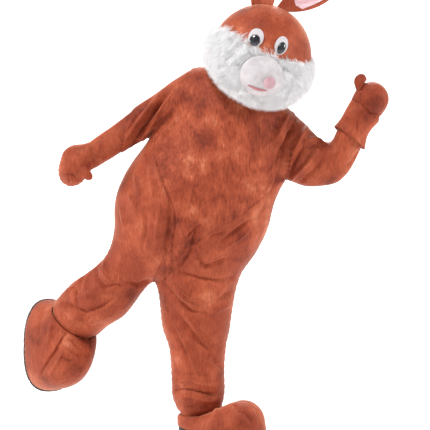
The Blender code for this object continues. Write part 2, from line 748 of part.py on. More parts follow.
def build_back(side, armhole, seam, inner_seam, shoulder, half):
    """Back and leg: from the side seam and armhole to the centre back and the inseam."""
    sign = SIDE_SIGN[side]
    centre_line = back_seam(sign * (ZIP_HALF_WIDTH + SEAM))
    middle = back_seam(0.0)
    centre_line[ZIP_ROWS + 1:] = middle[ZIP_ROWS + 1:]
    rise = np.concatenate([armhole[half:], armhole[:1]])[::-1]
    turns = sign * np.linspace(NECK_SIDE_TURN, math.pi, BACK_COLUMNS - SHOULDER_COLUMNS + 1)
    neckline = cast(suit_field, NECK_CENTRE, way(turns, np.zeros(len(turns)), UP))
    neckline[-1] = centre_line[0]
    top = np.concatenate([shoulder[:-1], neckline])
    upper = chest_rows_back(rise, centre_line[:half + 1][::-1], top, chest_levels(half + 1))
    legs = leg_rows(side, seam, inner_seam, BACK_COLUMNS, True)
    line = np.concatenate([centre_line[half:half + TORSO_ROWS], inner_seam[:1]])
    trunk = between(upper[0], legs[0], seam[:TORSO_ROWS + 1], line, side_levels(side)[:TORSO_ROWS + 1])
    grid = np.concatenate([upper[::-1][:-1], trunk, legs[1:]])
    stand = body_stand(grid, half - np.arange(len(grid)))
    return cloth_panel("suit_back_" + side, grid, suit_field, CLOTH, "brown_plush", folded=True, stand=stand)


def chest_rows_back(rise, line, top, levels):
    """The back's rows from the underarm up, from the armhole to the centre back."""
    share = np.linspace(0.0, 1.0, BACK_COLUMNS + 1)[:, None]
    ways = unit(top - np.array(levels[-1][:3]))
    shape = ways - slerp(ways[0], ways[-1], share)
    rows = []
    count = len(rise)
    for index in range(count - 1):
        fade = (index / (count - 1)) ** TOP_FADE
        centre = np.array(levels[index][:3])
        across = slerp(rise[index] - centre, line[index] - centre, share)
        row = cast(suit_field, centre, across + fade * shape)
        row[0] = rise[index]
        row[-1] = line[index]
        rows.append(row)
    rows.append(top)
    return np.array(rows)


def build_zip():
    """The zip in the centre-back seam, with its slider and pull tab near the neck."""
    left = back_seam(ZIP_HALF_WIDTH)[:ZIP_ROWS + 1]
    right = back_seam(-ZIP_HALF_WIDTH)[:ZIP_ROWS + 1]
    grid = np.stack([right, left], axis=1)
    outer, _ = cloth_panel("zip_strip", grid, suit_field, CLOTH * 0.7, "brown_tape", folded=True,
                           sides=("first_row", "last_row"))
    top = outer[0].mean(axis=0)
    down = unit(outer[1].mean(axis=0) - top)
    out = unit(np.cross(down, ACROSS))
    if out[1] < 0:
        out = -out
    seat = top + down * SLIDER_DROP + out * FIT_GAP
    build_slider(seat, down, out)


def build_slider(seat, down, out):
    """A channel with two lugs, and the pull tab that swings between them."""
    half = SLIDER_WIDTH / 2
    lug = SLIDER_LUG
    profile = ((-half, 0.0), (half, 0.0), (half, SLIDER_RISE), (half - lug, SLIDER_RISE),
               (half - lug, SLIDER_FLOOR), (lug - half, SLIDER_FLOOR), (lug - half, SLIDER_RISE),
               (-half, SLIDER_RISE))
    points = []
    for place in (0.0, SLIDER_LENGTH):
        for across, rise in profile:
            points.append(seat + down * place + ACROSS * across + out * rise)
    count = len(profile)
    faces = [list(range(count))[::-1], list(range(count, 2 * count))]
    for index in range(count):
        after = (index + 1) % count
        faces.append([index, after, count + after, count + index])
    add_body("zip_slider", points, faces, "brass")
    pivot = seat + down * SLIDER_LENGTH * 0.5 + out * (SLIDER_FLOOR + 0.0016)
    tab = half - lug - SEAM
    outline = ((-0.001, -0.001), (TAB_LENGTH, -0.001), (TAB_LENGTH, 0.0003), (-0.001, 0.0003))
    points = []
    for across in (-tab, tab):
        for along, rise in outline:
            points.append(pivot + down * along + ACROSS * across + out * rise)
    faces = [[3, 2, 1, 0], [4, 5, 6, 7], [0, 1, 5, 4], [1, 2, 6, 5], [2, 3, 7, 6], [3, 0, 4, 7]]
    add_body("zip_pull", points, faces, "brass", origin=tuple(pivot))


def shrunk(ring, amount):
    """A ring of points moved towards its middle."""
    return ring + unit(ring.mean(axis=0) - ring) * amount


# Hoops of the gauntlets beyond the sleeve: centre x, y, z, direction of down, radius across and deep
Hoop = namedtuple("Hoop", "x y z down across deep")
GAUNTLET_RIGHT = (Hoop(-0.555, -0.035, -0.218, 0.0, 0.066, 0.058),
                  Hoop(-0.595, -0.040, -0.243, 8.0, 0.059, 0.054),
                  Hoop(-0.631, -0.045, -0.268, 12.5, 0.056, 0.050))
GAUNTLET_LEFT = (Hoop(0.441, -0.062, -0.133, 64.0, 0.067, 0.058),
                 Hoop(0.470, -0.070, -0.092, 50.0, 0.074, 0.058))
# The mitts: round cones of the hand, then the way to the finger tips in the front view, degrees up
# from the wearer's left
HAND_RIGHT = Limb(0.85, ((-0.650, -0.050, -0.276, 0.056),
                         (-0.693, -0.055, -0.291, 0.068),
                         (-0.716, -0.070, -0.344, 0.062)))
HAND_LEFT = Limb(0.85, ((0.484, -0.080, -0.062, 0.072),
                        (0.492, -0.090, -0.047, 0.072),
                        (0.500, -0.110, -0.040, 0.064)))
TIP_ANGLE = {"right": math.radians(233), "left": math.radians(48)}
HAND_ROWS = 6
THUMB_POINTS = 8
# Share of the thumb's length and width at each row, and where its tip is
THUMB_PROFILE = ((0.35, 1.0), (0.75, 0.95), (1.05, 0.55))
THUMB_TIP = 1.2
THUMB_CLEAR = 0.012
THUMB_WALL_SHARE = 0.6
# Thumbs: root x, y, z, then tip x, y, z and radius
THUMBS = {"right": ((-0.668, -0.095, -0.335), (-0.636, -0.108, -0.362), 0.019),
          "left": ((0.440, -0.100, 0.000), (0.452, -0.106, 0.042), 0.024)}


def hoop_points(hoop, shrink=0.0):
    """Points round a gauntlet hoop."""
    lean = math.radians(hoop.down)
    down = np.array([math.sin(lean), 0.0, -math.cos(lean)])
    turn = np.linspace(0.0, 2 * math.pi, ARMHOLE_POINTS, endpoint=False)[:, None]
    across = np.cos(turn) * down * (hoop.across - shrink)
    return np.array([hoop.x, hoop.y, hoop.z]) + across + np.sin(turn) * FRONT * (hoop.deep - shrink)


def build_mitts(sleeves):
    """Gauntlets fitted to the sleeves, and the hands beyond them."""
    _, _, inner = sleeves["right"]
    rows = [shrunk(inner[-2], NEST_GAP + 0.001), shrunk(inner[-1], NEST_GAP)]
    rows += [hoop_points(hoop) for hoop in GAUNTLET_RIGHT]
    build_mitt("right", np.array(rows), HAND_RIGHT)
    _, outer, _ = sleeves["left"]
    rows = [shrunk(outer[-2], -0.014 - MITT_WALL), shrunk(outer[-1], -FIT_GAP - MITT_WALL)]
    rows += [hoop_points(hoop) for hoop in GAUNTLET_LEFT]
    build_mitt("left", np.array(rows), HAND_LEFT)


def build_mitt(side, rows, limb):
    """One gauntlet, its hand in two halves and its thumb."""
    inner = np.array([shrunk(row, MITT_WALL) for row in rows])
    outer, inner = drawn_in(rows, inner, ("first_row", "last_row"))
    panel("gauntlet_" + side, outer, inner, "brown_plush", closed=True)
    field = blended((limb,))
    centre = np.array(limb.rows[1][:3])
    tip_way = np.array([math.cos(TIP_ANGLE[side]), 0.0, math.sin(TIP_ANGLE[side])])
    lower = np.array([tip_way[2], 0.0, -tip_way[0]])
    if side == "right":
        lower = -lower
    half = ARMHOLE_POINTS // 2
    for name, start in (("mitt_palm_", 0), ("mitt_back_", half)):
        order = [(start + index) % ARMHOLE_POINTS for index in range(half + 1)]
        wrist = rows[-1][order]
        turn = np.linspace(0.0, math.pi, half + 1)[:, None]
        if start:
            turn = turn[::-1]
        tips = np.cos(turn) * lower + np.sin(turn) * tip_way
        grid = [wrist]
        for row in range(1, HAND_ROWS + 1):
            share = row / HAND_ROWS
            bulge = unit(wrist - centre) * (1 - share) + tips * share
            side_way = FRONT if start == 0 else -FRONT
            swell = np.sin(turn) * math.sin(math.pi * share) * side_way * 0.9
            grid.append(cast(field, centre, bulge + swell))
        cloth_panel(name + side, np.array(grid), field, MITT_WALL, "brown_plush")
    build_thumb(side, field, centre)


def build_thumb(side, field, centre):
    """A small closed tube standing on the palm."""
    root, tip, radius = THUMBS[side]
    root = np.array(root)
    along = unit(np.array(tip) - root)
    one = unit(np.cross(along, FRONT))
    two = np.cross(along, one)
    turn = np.linspace(0.0, 2 * math.pi, THUMB_POINTS, endpoint=False)[:, None]
    around = np.cos(turn) * one + np.sin(turn) * two
    length = np.linalg.norm(np.array(tip) - root)

    wall_thick = MITT_WALL * THUMB_WALL_SHARE
    outer = [cast(field, centre, root + around * radius - centre, FIT_GAP)]
    inner = [cast(field, centre, root + around * (radius - wall_thick) - centre, FIT_GAP)]
    for share, width in THUMB_PROFILE:
        row = root + along * length * share + around * radius * width
        short = np.maximum(FIT_GAP + share * THUMB_CLEAR - field(row), 0.0)[:, None]
        outer.append(row + normals(field, row) * short)
        inner.append(shrunk(outer[-1], wall_thick))
    tip = root + along * length * THUMB_TIP
    panel("thumb_" + side, np.array(outer), np.array(inner), "brown_plush", closed=True,
          tip=(tip, tip - along * wall_thick))


# Boots: middle of the sole x, y, z, toe direction, and the direction up out of the sole
Boot = namedtuple("Boot", "middle toe up")
BOOTS = {"left": Boot((-0.1115, -0.078, FLOOR + 0.014), (0.78, -0.62, 0.0), (0.0, 0.0, 1.0)),
         "right": Boot((-0.850, 0.255, -1.075), (0.05, -0.15, -0.98), (0.50, -0.82, 0.20))}
BOOT_LENGTH = 0.395
BOOT_WIDTH = 0.238
TOE_SPREAD = 0.10
SOLE_ROUND = 0.8
BOOT_COLUMNS = 32
BOOT_ROWS = 7
BUN_RISE = 0.090
SOLE_THICK = 0.014
SOLE_EDGE = 0.004
ANKLE_DROP = 0.016
CUFF_DEPTH = 0.012
COLLAR_ROOM = 0.011


def leg_ring(front, back, side, row):
    """The inner points of a trouser leg all round at one row, in order of turn."""
    fore = front[row]
    rear = back[row]
    if side == "right":
        return np.concatenate([fore, rear[::-1][1:-1]])
    return np.concatenate([fore[::-1], rear[1:-1]])


def boot_axes(boot):
    toe = unit(np.array(boot.toe))
    up = np.array(boot.up)
    up = unit(up - (up @ toe) * toe)
    return toe, up, np.cross(up, toe)


def sole_outline(boot, count, grow=0.0):
    """Points round the sole from the toe, by the outer side, to the toe again."""
    toe, _, side = boot_axes(boot)
    turn = np.linspace(0.0, 2 * math.pi, count, endpoint=False)[:, None]
    along = np.sign(np.cos(turn)) * np.abs(np.cos(turn)) ** SOLE_ROUND
    aside = np.sign(np.sin(turn)) * np.abs(np.sin(turn)) ** SOLE_ROUND
    wide = (BOOT_WIDTH / 2 + grow) * (1 + TOE_SPREAD * np.cos(turn))
    return np.array(boot.middle) + along * toe * (BOOT_LENGTH / 2 + grow) + aside * side * wide


def build_boots(hems):
    """Cuffs inside the trouser legs, bun-shaped uppers in two halves, and the soles."""
    for side, boot in BOOTS.items():
        (_, front), (_, back) = hems[side]
        normal = level_normal(LEG_LEVELS[side][-1])
        rings = [shrunk(leg_ring(front, back, side, row), NEST_GAP) for row in (-2, -1)]
        ankle = shrunk(rings[-1], CLOTH) - normal * ANKLE_DROP
        deep = shrunk(ankle, CUFF_DEPTH / 2) - normal * CUFF_DEPTH
        rows = np.array([*rings, ankle, deep])
        inner = np.array([shrunk(row, CLOTH) for row in rows])
        panel("boot_cuff_" + side, rows, inner, "brown_plush", closed=True)
        build_upper(side, boot, ankle)
        build_sole(side, boot)


def even_ring(ring, count):
    """A closed ring with its points spread evenly."""
    return resampled(np.concatenate([ring, ring[:1]]), count + 1)[:-1]


def build_upper(side, boot, ankle):
    """The bun over the foot: from the sole's outline up and over to the ankle."""
    toe, up, across = boot_axes(boot)
    middle = np.array(boot.middle)
    count = BOOT_COLUMNS
    outline = sole_outline(boot, count)
    centre = ankle.mean(axis=0)
    ring = even_ring(np.roll(ankle, -np.argmax((ankle - centre) @ toe), axis=0), count)
    if (ring[count // 4] - centre) @ across < 0:
        ring = np.roll(ring[::-1], 1, axis=0)
    away = unit(ring - centre)
    turn = np.linspace(0.0, 2 * math.pi, count, endpoint=False)
    toward_toe = (0.5 + 0.5 * np.cos(turn)) ** 2

    def dropped(points):
        return points - ((points - middle) @ up)[..., None] * up

    hub = dropped(centre)
    spoke = unit(dropped(ring) - hub)
    reach = np.linalg.norm(dropped(ring) - hub, axis=1)

    def surface(collar):
        heights = (collar - middle) @ up
        flat = collar - heights[:, None] * up
        rows = []
        for share in np.linspace(0.0, 1.0, BOOT_ROWS + 1):
            over = 1 - math.cos(math.pi * share / 2) ** 1.3
            lift = share + toward_toe * (math.sin(math.pi * share / 2) ** 0.7 - share)
            height = heights * lift + BUN_RISE * math.sin(math.pi * share ** 0.9) * toward_toe
            place = outline * (1 - over) + flat * over
            if 0.0 < share < 1.0:
                short = reach + COLLAR_ROOM - np.sum((place - hub) * spoke, axis=1)
                place = place + spoke * np.maximum(short, 0.0)[:, None]
            rows.append(place + height[:, None] * up)
        return np.array(rows)

    def facing_of(grid):
        facing = grid_facing(grid, closed=True)
        return facing if np.sum(facing[0] * (grid[0] - middle)) > 0 else -facing

    collar_way = facing_of(surface(ring + away * NEST_GAP))[-1]
    room = np.maximum(np.sum(collar_way * away, axis=1), 0.0)[:, None] * BOOT_WALL
    outer = surface(ring + away * (NEST_GAP + room))
    facing = facing_of(outer)
    facing[0] = unit(facing[0] - (facing[0] @ up)[:, None] * up)
    facing[-1] = collar_way
    inner = outer - facing * BOOT_WALL
    half = count // 2
    for name, order in (("boot_outer_", list(range(half + 1))),
                        ("boot_inner_", [*range(half, count), 0])):
        one, two = drawn_in(outer[:, order], inner[:, order],
                            ("first_row", "last_row", "first_column", "last_column"))
        panel(name + side, one, two, "brown_plush")


def build_sole(side, boot):
    """The flat black sole under the upper."""
    _, up, _ = boot_axes(boot)
    count = BOOT_COLUMNS
    top = sole_outline(boot, count, SOLE_EDGE) - up * SEAM
    bottom = top - up * (SOLE_THICK - SEAM)
    points = np.concatenate([top, bottom])
    faces = [list(range(count)), list(range(count, 2 * count))[::-1]]
    for index in range(count):
        after = (index + 1) % count
        faces.append([after, index, count + index, count + after])
    add_body("boot_sole_" + side, points, faces, "black_rubber")


# The head: everything is measured from its middle, by turn from the face and lift, in degrees
HEAD = np.array([0.045, -0.095, 0.118])
FACE_TURN = math.radians(10)
HEAD_SIDE = 0.208
HEAD_FRONT = 0.215
HEAD_TOP = 0.215
PILE = 0.030
# Lift of the edge between brown and white, and of the neck edge, at each turn from the face
FACE_EDGES = ((-180, 20, -14), (-125, 16, -20), (-90, 10, -30), (-60, 6, -55), (-30, 0, -64), (0, -4, -66),
              (30, 3, -64), (60, 12, -55), (90, 24, -30), (125, 22, -20), (180, 20, -14))
RUFF_TURN = math.radians(125)
RUFF_TURNS = np.linspace(-RUFF_TURN, RUFF_TURN, 17)
BACK_TURNS = np.linspace(RUFF_TURN, 2 * math.pi - RUFF_TURN, 7)


def head_way(turn, lift):
    """Direction from the head's middle; turn is measured from the face."""
    return way(np.asarray(turn) + FACE_TURN, lift, UP)


def head_radius(ways):
    """Radius of the head shell in each direction."""
    forward, side = frame_of(UP)
    scaled = np.stack([ways @ side / HEAD_SIDE, ways @ forward / HEAD_FRONT, ways @ UP / HEAD_TOP], axis=-1)
    return 1.0 / np.linalg.norm(scaled, axis=-1)


def edge_lift(turn, column):
    """Lift of an edge of the face panels at a turn."""
    table = np.array(FACE_EDGES, float)
    wrapped = (np.degrees(turn) + 180.0) % 360.0 - 180.0
    return np.radians(np.interp(wrapped, table[:, 0], table[:, column]))


def pile_depth(turn, share):
    """Length of the white pile, from the neck edge at share 0 to the brown edge at share 1."""
    around = np.clip(np.abs(turn) / math.radians(70), 0.0, 1.0)
    strong = 0.35 + 0.65 * around ** 1.5
    low = 0.55 + 0.45 * np.sin(math.pi * np.clip(share, 0.0, 1.0))
    top = np.clip((1.0 - share) / 0.18, 0.25, 1.0)
    return PILE * np.maximum(strong, 1.0 - share) * low * top


def head_grid(turns, low, high, rows, radius_of):
    """Outer points of a head panel between two edges."""
    grid = []
    for row in range(rows + 1):
        share = row / rows
        lifts = low + share * (high - low)
        ways = head_way(turns, lifts)
        grid.append(HEAD + ways * radius_of(ways, turns, share)[:, None])
    return np.array(grid)


def build_head():
    """Crown, back, ruff and the pieces of the face."""
    turns = np.concatenate([RUFF_TURNS[:-1], BACK_TURNS[:-1]])
    low = edge_lift(turns, 1)

    def crown(inset):
        def radius(ways, _, __):
            return head_radius(ways) - inset
        return head_grid(turns, low, np.full(len(turns), math.radians(82)), 6, radius)

    outer, inner = drawn_in(crown(0.0), crown(HEAD_SHELL), ("first_row",))
    pole = HEAD + UP * HEAD_TOP
    panel("head_crown", outer, inner, "brown_plush", closed=True, tip=(pole, pole - UP * HEAD_SHELL))
    build_head_panel("head_back", BACK_TURNS, 4, 0.0, "brown_plush")
    build_head_panel("head_ruff", RUFF_TURNS, 6, 1.0, "white_fur")
    build_face()
    for name, ear in EARS.items():
        build_ear(name, ear)


def build_head_panel(name, turns, rows, pile, material):
    low = edge_lift(turns, 2)
    high = edge_lift(turns, 1)

    def outer_radius(ways, at, share):
        return head_radius(ways) + pile * pile_depth(at, share)

    def inner_radius(ways, _, __):
        return head_radius(ways) - HEAD_SHELL

    outer = head_grid(turns, low, high, rows, outer_radius)
    inner = head_grid(turns, low, high, rows, inner_radius)
    outer, inner = drawn_in(outer, inner, ("first_row", "last_row", "first_column", "last_column"))
    panel(name, outer, inner, material)


def head_outer(ways):
    """Radius of the head's outside, pile included, in each direction."""
    turn, lift = angles_of(ways, np.zeros(3), UP)
    turn = (turn - FACE_TURN + math.pi) % (2 * math.pi) - math.pi
    low = edge_lift(turn, 2)
    high = edge_lift(turn, 1)
    share = (lift - low) / (high - low)
    on_ruff = (share < 1.0) & (np.abs(turn) < RUFF_TURN)
    return head_radius(ways) + np.where(on_ruff, pile_depth(turn, share), 0.0)


# Domes on the face: front-view place x, z, half sizes along and up, lean in degrees, rise and rim
Dome = namedtuple("Dome", "name x z wide high lean rise rim gap material rings points")
DOMES = (Dome("muzzle", 0.045, 0.026, 0.086, 0.077, -20.0, 0.066, 0.004, 0.003, "white_felt", 6, 20),
         Dome("eye_white_right", 0.021, 0.168, 0.031, 0.039, -10.0, 0.009, 0.0025, 0.0005, "white_felt", 3, 14),
         Dome("eye_white_left", 0.121, 0.137, 0.027, 0.041, -24.0, 0.009, 0.0025, 0.0005, "white_felt", 3, 14))
MUZZLE_DOMES = (Dome("nose", 0.064, 0.020, 0.0245, 0.0245, 0.0, 0.026, 0.004, 0.0005, "pink_felt", 4, 12),)
PUPILS = (Dome("pupil_right", 0.0166, 0.153, 0.0225, 0.0235, -10.0, 0.004, 0.0015, 0.0005, "dark_plastic", 3, 12),
          Dome("pupil_left", 0.117, 0.125, 0.0165, 0.026, -24.0, 0.004, 0.0015, 0.0005, "dark_plastic", 3, 12))


def dome_frame(dome, base_of):
    """Centre of a dome on its base, and its two axes across the surface."""
    reach = np.array([dome.x, 0.0, dome.z]) - HEAD
    reach[1] = -math.sqrt(max(0.22 ** 2 - reach[0] ** 2 - reach[2] ** 2, 0.001))
    toward = unit(reach)
    centre = toward * base_of(toward[None])[0]
    lean = math.radians(dome.lean)
    across = np.array([math.cos(lean), 0.0, math.sin(lean)])
    across = unit(across - (across @ toward) * toward)
    return centre, across, np.cross(toward, across) * -1.0


def dome_top(dome, base_of):
    """The radius of a dome's top in any direction."""
    centre, across, upward = dome_frame(dome, base_of)
    toward = unit(centre)

    def top(ways):
        reach = (centre @ toward) / np.maximum(ways @ toward, 0.05)
        flat = ways * reach[..., None] - centre
        away = np.hypot(flat @ across / dome.wide, flat @ upward / dome.high)
        rise = dome.rim + dome.rise * np.sqrt(np.clip(1.0 - away ** 2, 0.0, 1.0))
        return base_of(ways) + dome.gap + np.where(away < 1.0, rise, 0.0)
    return top


def build_dome(dome, base_of):
    """A dome on the face as one closed body. Returns its top for what sits on it."""
    centre, across, upward = dome_frame(dome, base_of)
    turn = np.linspace(0.0, 2 * math.pi, dome.points, endpoint=False)[:, None]
    rims = np.cos(turn) * across * dome.wide + np.sin(turn) * upward * dome.high
    tops = []
    bases = []
    for ring in range(dome.rings, 0, -1):
        away = math.sin(math.pi / 2 * ring / dome.rings)
        ways = unit(centre + rims * away)
        floor = base_of(ways) + dome.gap
        tops.append(HEAD + ways * (floor + dome.rim + dome.rise * math.sqrt(1 - away ** 2 + 1e-12))[:, None])
        bases.append(HEAD + ways * floor[:, None])
    toward = unit(centre)
    floor = base_of(toward[None])[0] + dome.gap
    tip = (HEAD + toward * (floor + dome.rim + dome.rise), HEAD + toward * floor)
    panel(dome.name, np.array(tops), np.array(bases), dome.material, closed=True, tip=tip)
    return dome_top(dome, base_of)


MOUTH = ((-0.0146, -0.030), (0.019, -0.045), (0.063, -0.054))
MOUTH_HALF = 0.007


def build_face():
    """Muzzle, nose, mouth, eyes and pupils, each on what is under it."""
    tops = {}
    for dome in DOMES:
        tops[dome.name] = build_dome(dome, head_outer)
    for dome in MUZZLE_DOMES:
        build_dome(dome, tops["muzzle"])
    build_dome(PUPILS[0], tops["eye_white_right"])
    build_dome(PUPILS[1], tops["eye_white_left"])
    build_mouth(tops["muzzle"])


def build_mouth(base_of):
    """A narrow felt strip under the nose."""
    line = resampled([(x, 0.0, z) for x, z in MOUTH], 7)
    rows = []
    for edge in (-1.0, 0.0, 1.0):
        row = []
        for index, place in enumerate(line):
            narrow = 0.35 + 0.65 * math.sin(math.pi * index / (len(line) - 1))
            reach = np.array([place[0], -0.36, place[2] + edge * MOUTH_HALF * narrow]) - HEAD
            row.append(unit(reach))
        rows.append(row)
    ways = np.array(rows)
    floor = base_of(ways) + FIT_GAP
    outer = HEAD + ways * (floor + 0.002)[..., None]
    inner = HEAD + ways * floor[..., None]
    panel("mouth", outer, inner, "pink_felt")


# Ears: stations along the middle line: x, y, z, half width, and the front-view way across, degrees
Station = namedtuple("Station", "x y z half across")
EARS = {
    "right": (Station(0.052, -0.135, 0.305, 0.040, 0.0),
              Station(0.058, -0.120, 0.375, 0.054, 0.0),
              Station(0.060, -0.105, 0.445, 0.060, 0.0),
              Station(0.056, -0.090, 0.515, 0.054, 5.0),
              Station(0.046, -0.080, 0.575, 0.036, 8.0),
              Station(0.038, -0.075, 0.610, 0.012, 10.0)),
    "left": (Station(0.125, -0.135, 0.310, 0.030, -75.0),
             Station(0.185, -0.130, 0.340, 0.050, -70.0),
             Station(0.255, -0.125, 0.368, 0.060, -60.0),
             Station(0.318, -0.120, 0.415, 0.060, -45.0),
             Station(0.355, -0.115, 0.480, 0.042, -30.0),
             Station(0.370, -0.110, 0.530, 0.014, -22.0)),
}
EAR_COLUMNS = (-1.0, -0.74, -0.3, 0.3, 0.74, 1.0)
EAR_CUP = 0.014


def build_ear(side, stations):
    """The brown back of an ear, and its lining laid on the front."""
    middles = np.array([station[:3] for station in stations])
    grid = []
    for index, station in enumerate(stations):
        lean = math.radians(station.across)
        across = np.array([math.cos(lean), 0.0, math.sin(lean)])
        row = []
        for share in EAR_COLUMNS:
            curl = EAR_CUP * (1 - share ** 2) * (station.half / 0.06)
            row.append(middles[index] + across * station.half * share - FRONT * curl)
        grid.append(row)
    front = np.array(grid)
    back = front - FRONT * EAR_WALL
    for face in (front, back):
        ways = unit(face[0] - HEAD)
        face[0] = HEAD + ways * (head_radius(ways) + FIT_GAP)[:, None]
    panel("ear_back_" + side, back, front, "brown_plush")
    under = front[1:-1, 1:-1] + FRONT * FIT_GAP
    over = under + FRONT * LINING_WALL
    panel("ear_lining_" + side, over, under, "pink_satin")


def main():
    for old in list(bpy.data.objects):
        bpy.data.objects.remove(old, do_unlink=True)
    sleeves, hems = build_suit()
    build_mitts(sleeves)
    build_boots(hems)
    build_head()


main()
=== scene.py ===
"""Looks of the rabbit mascot costume: soft folds, plush pile, fur strands, camera and light.

Each cloth node's wall is copied, made finer and pushed in or out by folds along smooth
directions that point away from the wearer's limbs, so both faces of a wall move together.
Lengths are in metres. Fold lines are given in the picture's own frame of 430 by 430.
"""
import math
from collections import namedtuple

import bmesh
import bpy
import numpy as np
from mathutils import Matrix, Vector, kdtree


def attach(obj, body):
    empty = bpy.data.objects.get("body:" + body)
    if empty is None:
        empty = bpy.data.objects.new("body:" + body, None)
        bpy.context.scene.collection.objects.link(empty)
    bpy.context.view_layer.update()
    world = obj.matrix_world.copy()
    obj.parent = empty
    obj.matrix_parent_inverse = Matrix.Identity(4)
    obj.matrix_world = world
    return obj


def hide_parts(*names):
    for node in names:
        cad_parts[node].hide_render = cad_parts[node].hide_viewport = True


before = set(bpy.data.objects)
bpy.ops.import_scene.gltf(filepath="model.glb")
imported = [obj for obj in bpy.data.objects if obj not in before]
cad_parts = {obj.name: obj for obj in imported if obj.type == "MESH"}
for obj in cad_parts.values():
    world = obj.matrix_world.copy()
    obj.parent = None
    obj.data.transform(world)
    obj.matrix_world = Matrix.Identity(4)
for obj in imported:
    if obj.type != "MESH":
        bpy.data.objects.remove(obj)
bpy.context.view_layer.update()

# The picture's frame: metres to a pixel on the plane y = 0, the view's middle there and in pixels
PIXEL = 0.0041
VIEW_X = -0.1353
VIEW_Z = -0.5125
MIDDLE = 215.0
DISTANCE = 4.5
LENS = 91.9
FLOOR = -1.388
# The head's middle, and the way up the leaning trunk
HEAD = np.array([0.045, -0.095, 0.118])
TRUNK_UP = np.array([0.3746, 0.0, 0.9272])
# How far the ears' roots go down into the crown's pile, and over what length that fades
EAR_ROOT = 0.009
EAR_ROOT_FADE = 0.02
# Thumbs swell by this much, and soles draw in under the uppers by this much along x, y and z
THUMB_SWELL = 1.22
SOLE_DRAW = np.array([0.955, 0.955, 1.0])
# Panels' rims are edges that turn by more than RIM_TURN degrees. Rims stay sharp by RIM_CREASE
RIM_TURN = 58
RIM_CREASE = 0.75
# How far from its rim a panel's folds are held down, and how wide its seam's groove is
RIM_REACH = 0.03
RIM_FADE = 0.012
GROOVE_WIDTH = 0.006

# Middle lines of the wearer's limbs: x, y, z and radius, a row for each joint
BONES = {
    "suit": (
        ((-0.235, 0.0, -0.505, 0.316), (-0.212, 0.0, -0.465, 0.313), (-0.112, 0.0, -0.2975, 0.268),
         (-0.075, 0.0, -0.162, 0.243), (-0.031, 0.0, -0.020, 0.105), (0.0, 0.0, 0.058, 0.086)),
        ((-0.195, 0.0, -0.011, 0.108), (-0.271, 0.0, -0.053, 0.101), (-0.361, -0.01, -0.098, 0.082),
         (-0.435, -0.02, -0.139, 0.073), (-0.600, -0.04, -0.235, 0.066)),
        ((-0.010, 0.0, -0.085, 0.100), (0.125, 0.0, -0.212, 0.136), (0.250, -0.01, -0.299, 0.105),
         (0.328, -0.02, -0.307, 0.090), (0.366, -0.03, -0.281, 0.074), (0.396, -0.04, -0.236, 0.061),
         (0.435, -0.06, -0.130, 0.060)),
        ((-0.405, 0.0, -0.618, 0.150), (-0.497, 0.03, -0.742, 0.103), (-0.592, 0.08, -0.845, 0.120),
         (-0.652, 0.11, -0.880, 0.119), (-0.734, 0.16, -0.958, 0.115), (-0.800, 0.20, -1.040, 0.105)),
        ((-0.176, 0.0, -0.677, 0.156), (-0.209, 0.0, -0.800, 0.161), (-0.213, 0.0, -0.947, 0.142),
         (-0.205, 0.0, -1.046, 0.118), (-0.205, 0.0, -1.156, 0.108), (-0.203, 0.0, -1.230, 0.113),
         (-0.199, 0.0, -1.290, 0.090), (-0.197, 0.0, -1.420, 0.080))),
    "hand_right": (((-0.540, -0.033, -0.210, 0.064), (-0.650, -0.050, -0.276, 0.058),
                    (-0.690, -0.055, -0.300, 0.05)),),
    "hand_left": (((0.436, -0.060, -0.150, 0.062), (0.484, -0.080, -0.062, 0.07),
                   (0.505, -0.085, -0.025, 0.06)),),
    "boot_left": (((-0.205, 0.0, -1.340, 0.10), (-0.030, -0.140, -1.350, 0.10)),),
    "boot_right": (((-0.800, 0.200, -1.020, 0.10), (-0.845, 0.185, -1.150, 0.10)),),
    "head": (((0.045, -0.095, 0.110, 0.20), (0.045, -0.095, 0.125, 0.20)),),
}
BONE_BLEND = 0.030
# Metres for each millimetre of the fold table, drawn up so that soft light shows them
FOLD_SCALE = 0.0019
# How fast a fold comes in as the cloth turns towards the side that shows it, and how its ends fade
FOLD_TURN = 2.2
FOLD_END = 0.08
FOLD_FADE = 0.7
# Lumps of the cloth's soft unevenness: size in metres, share and seed of each
SWELLS = ((0.075, 0.7, 1), (0.028, 0.3, 2))

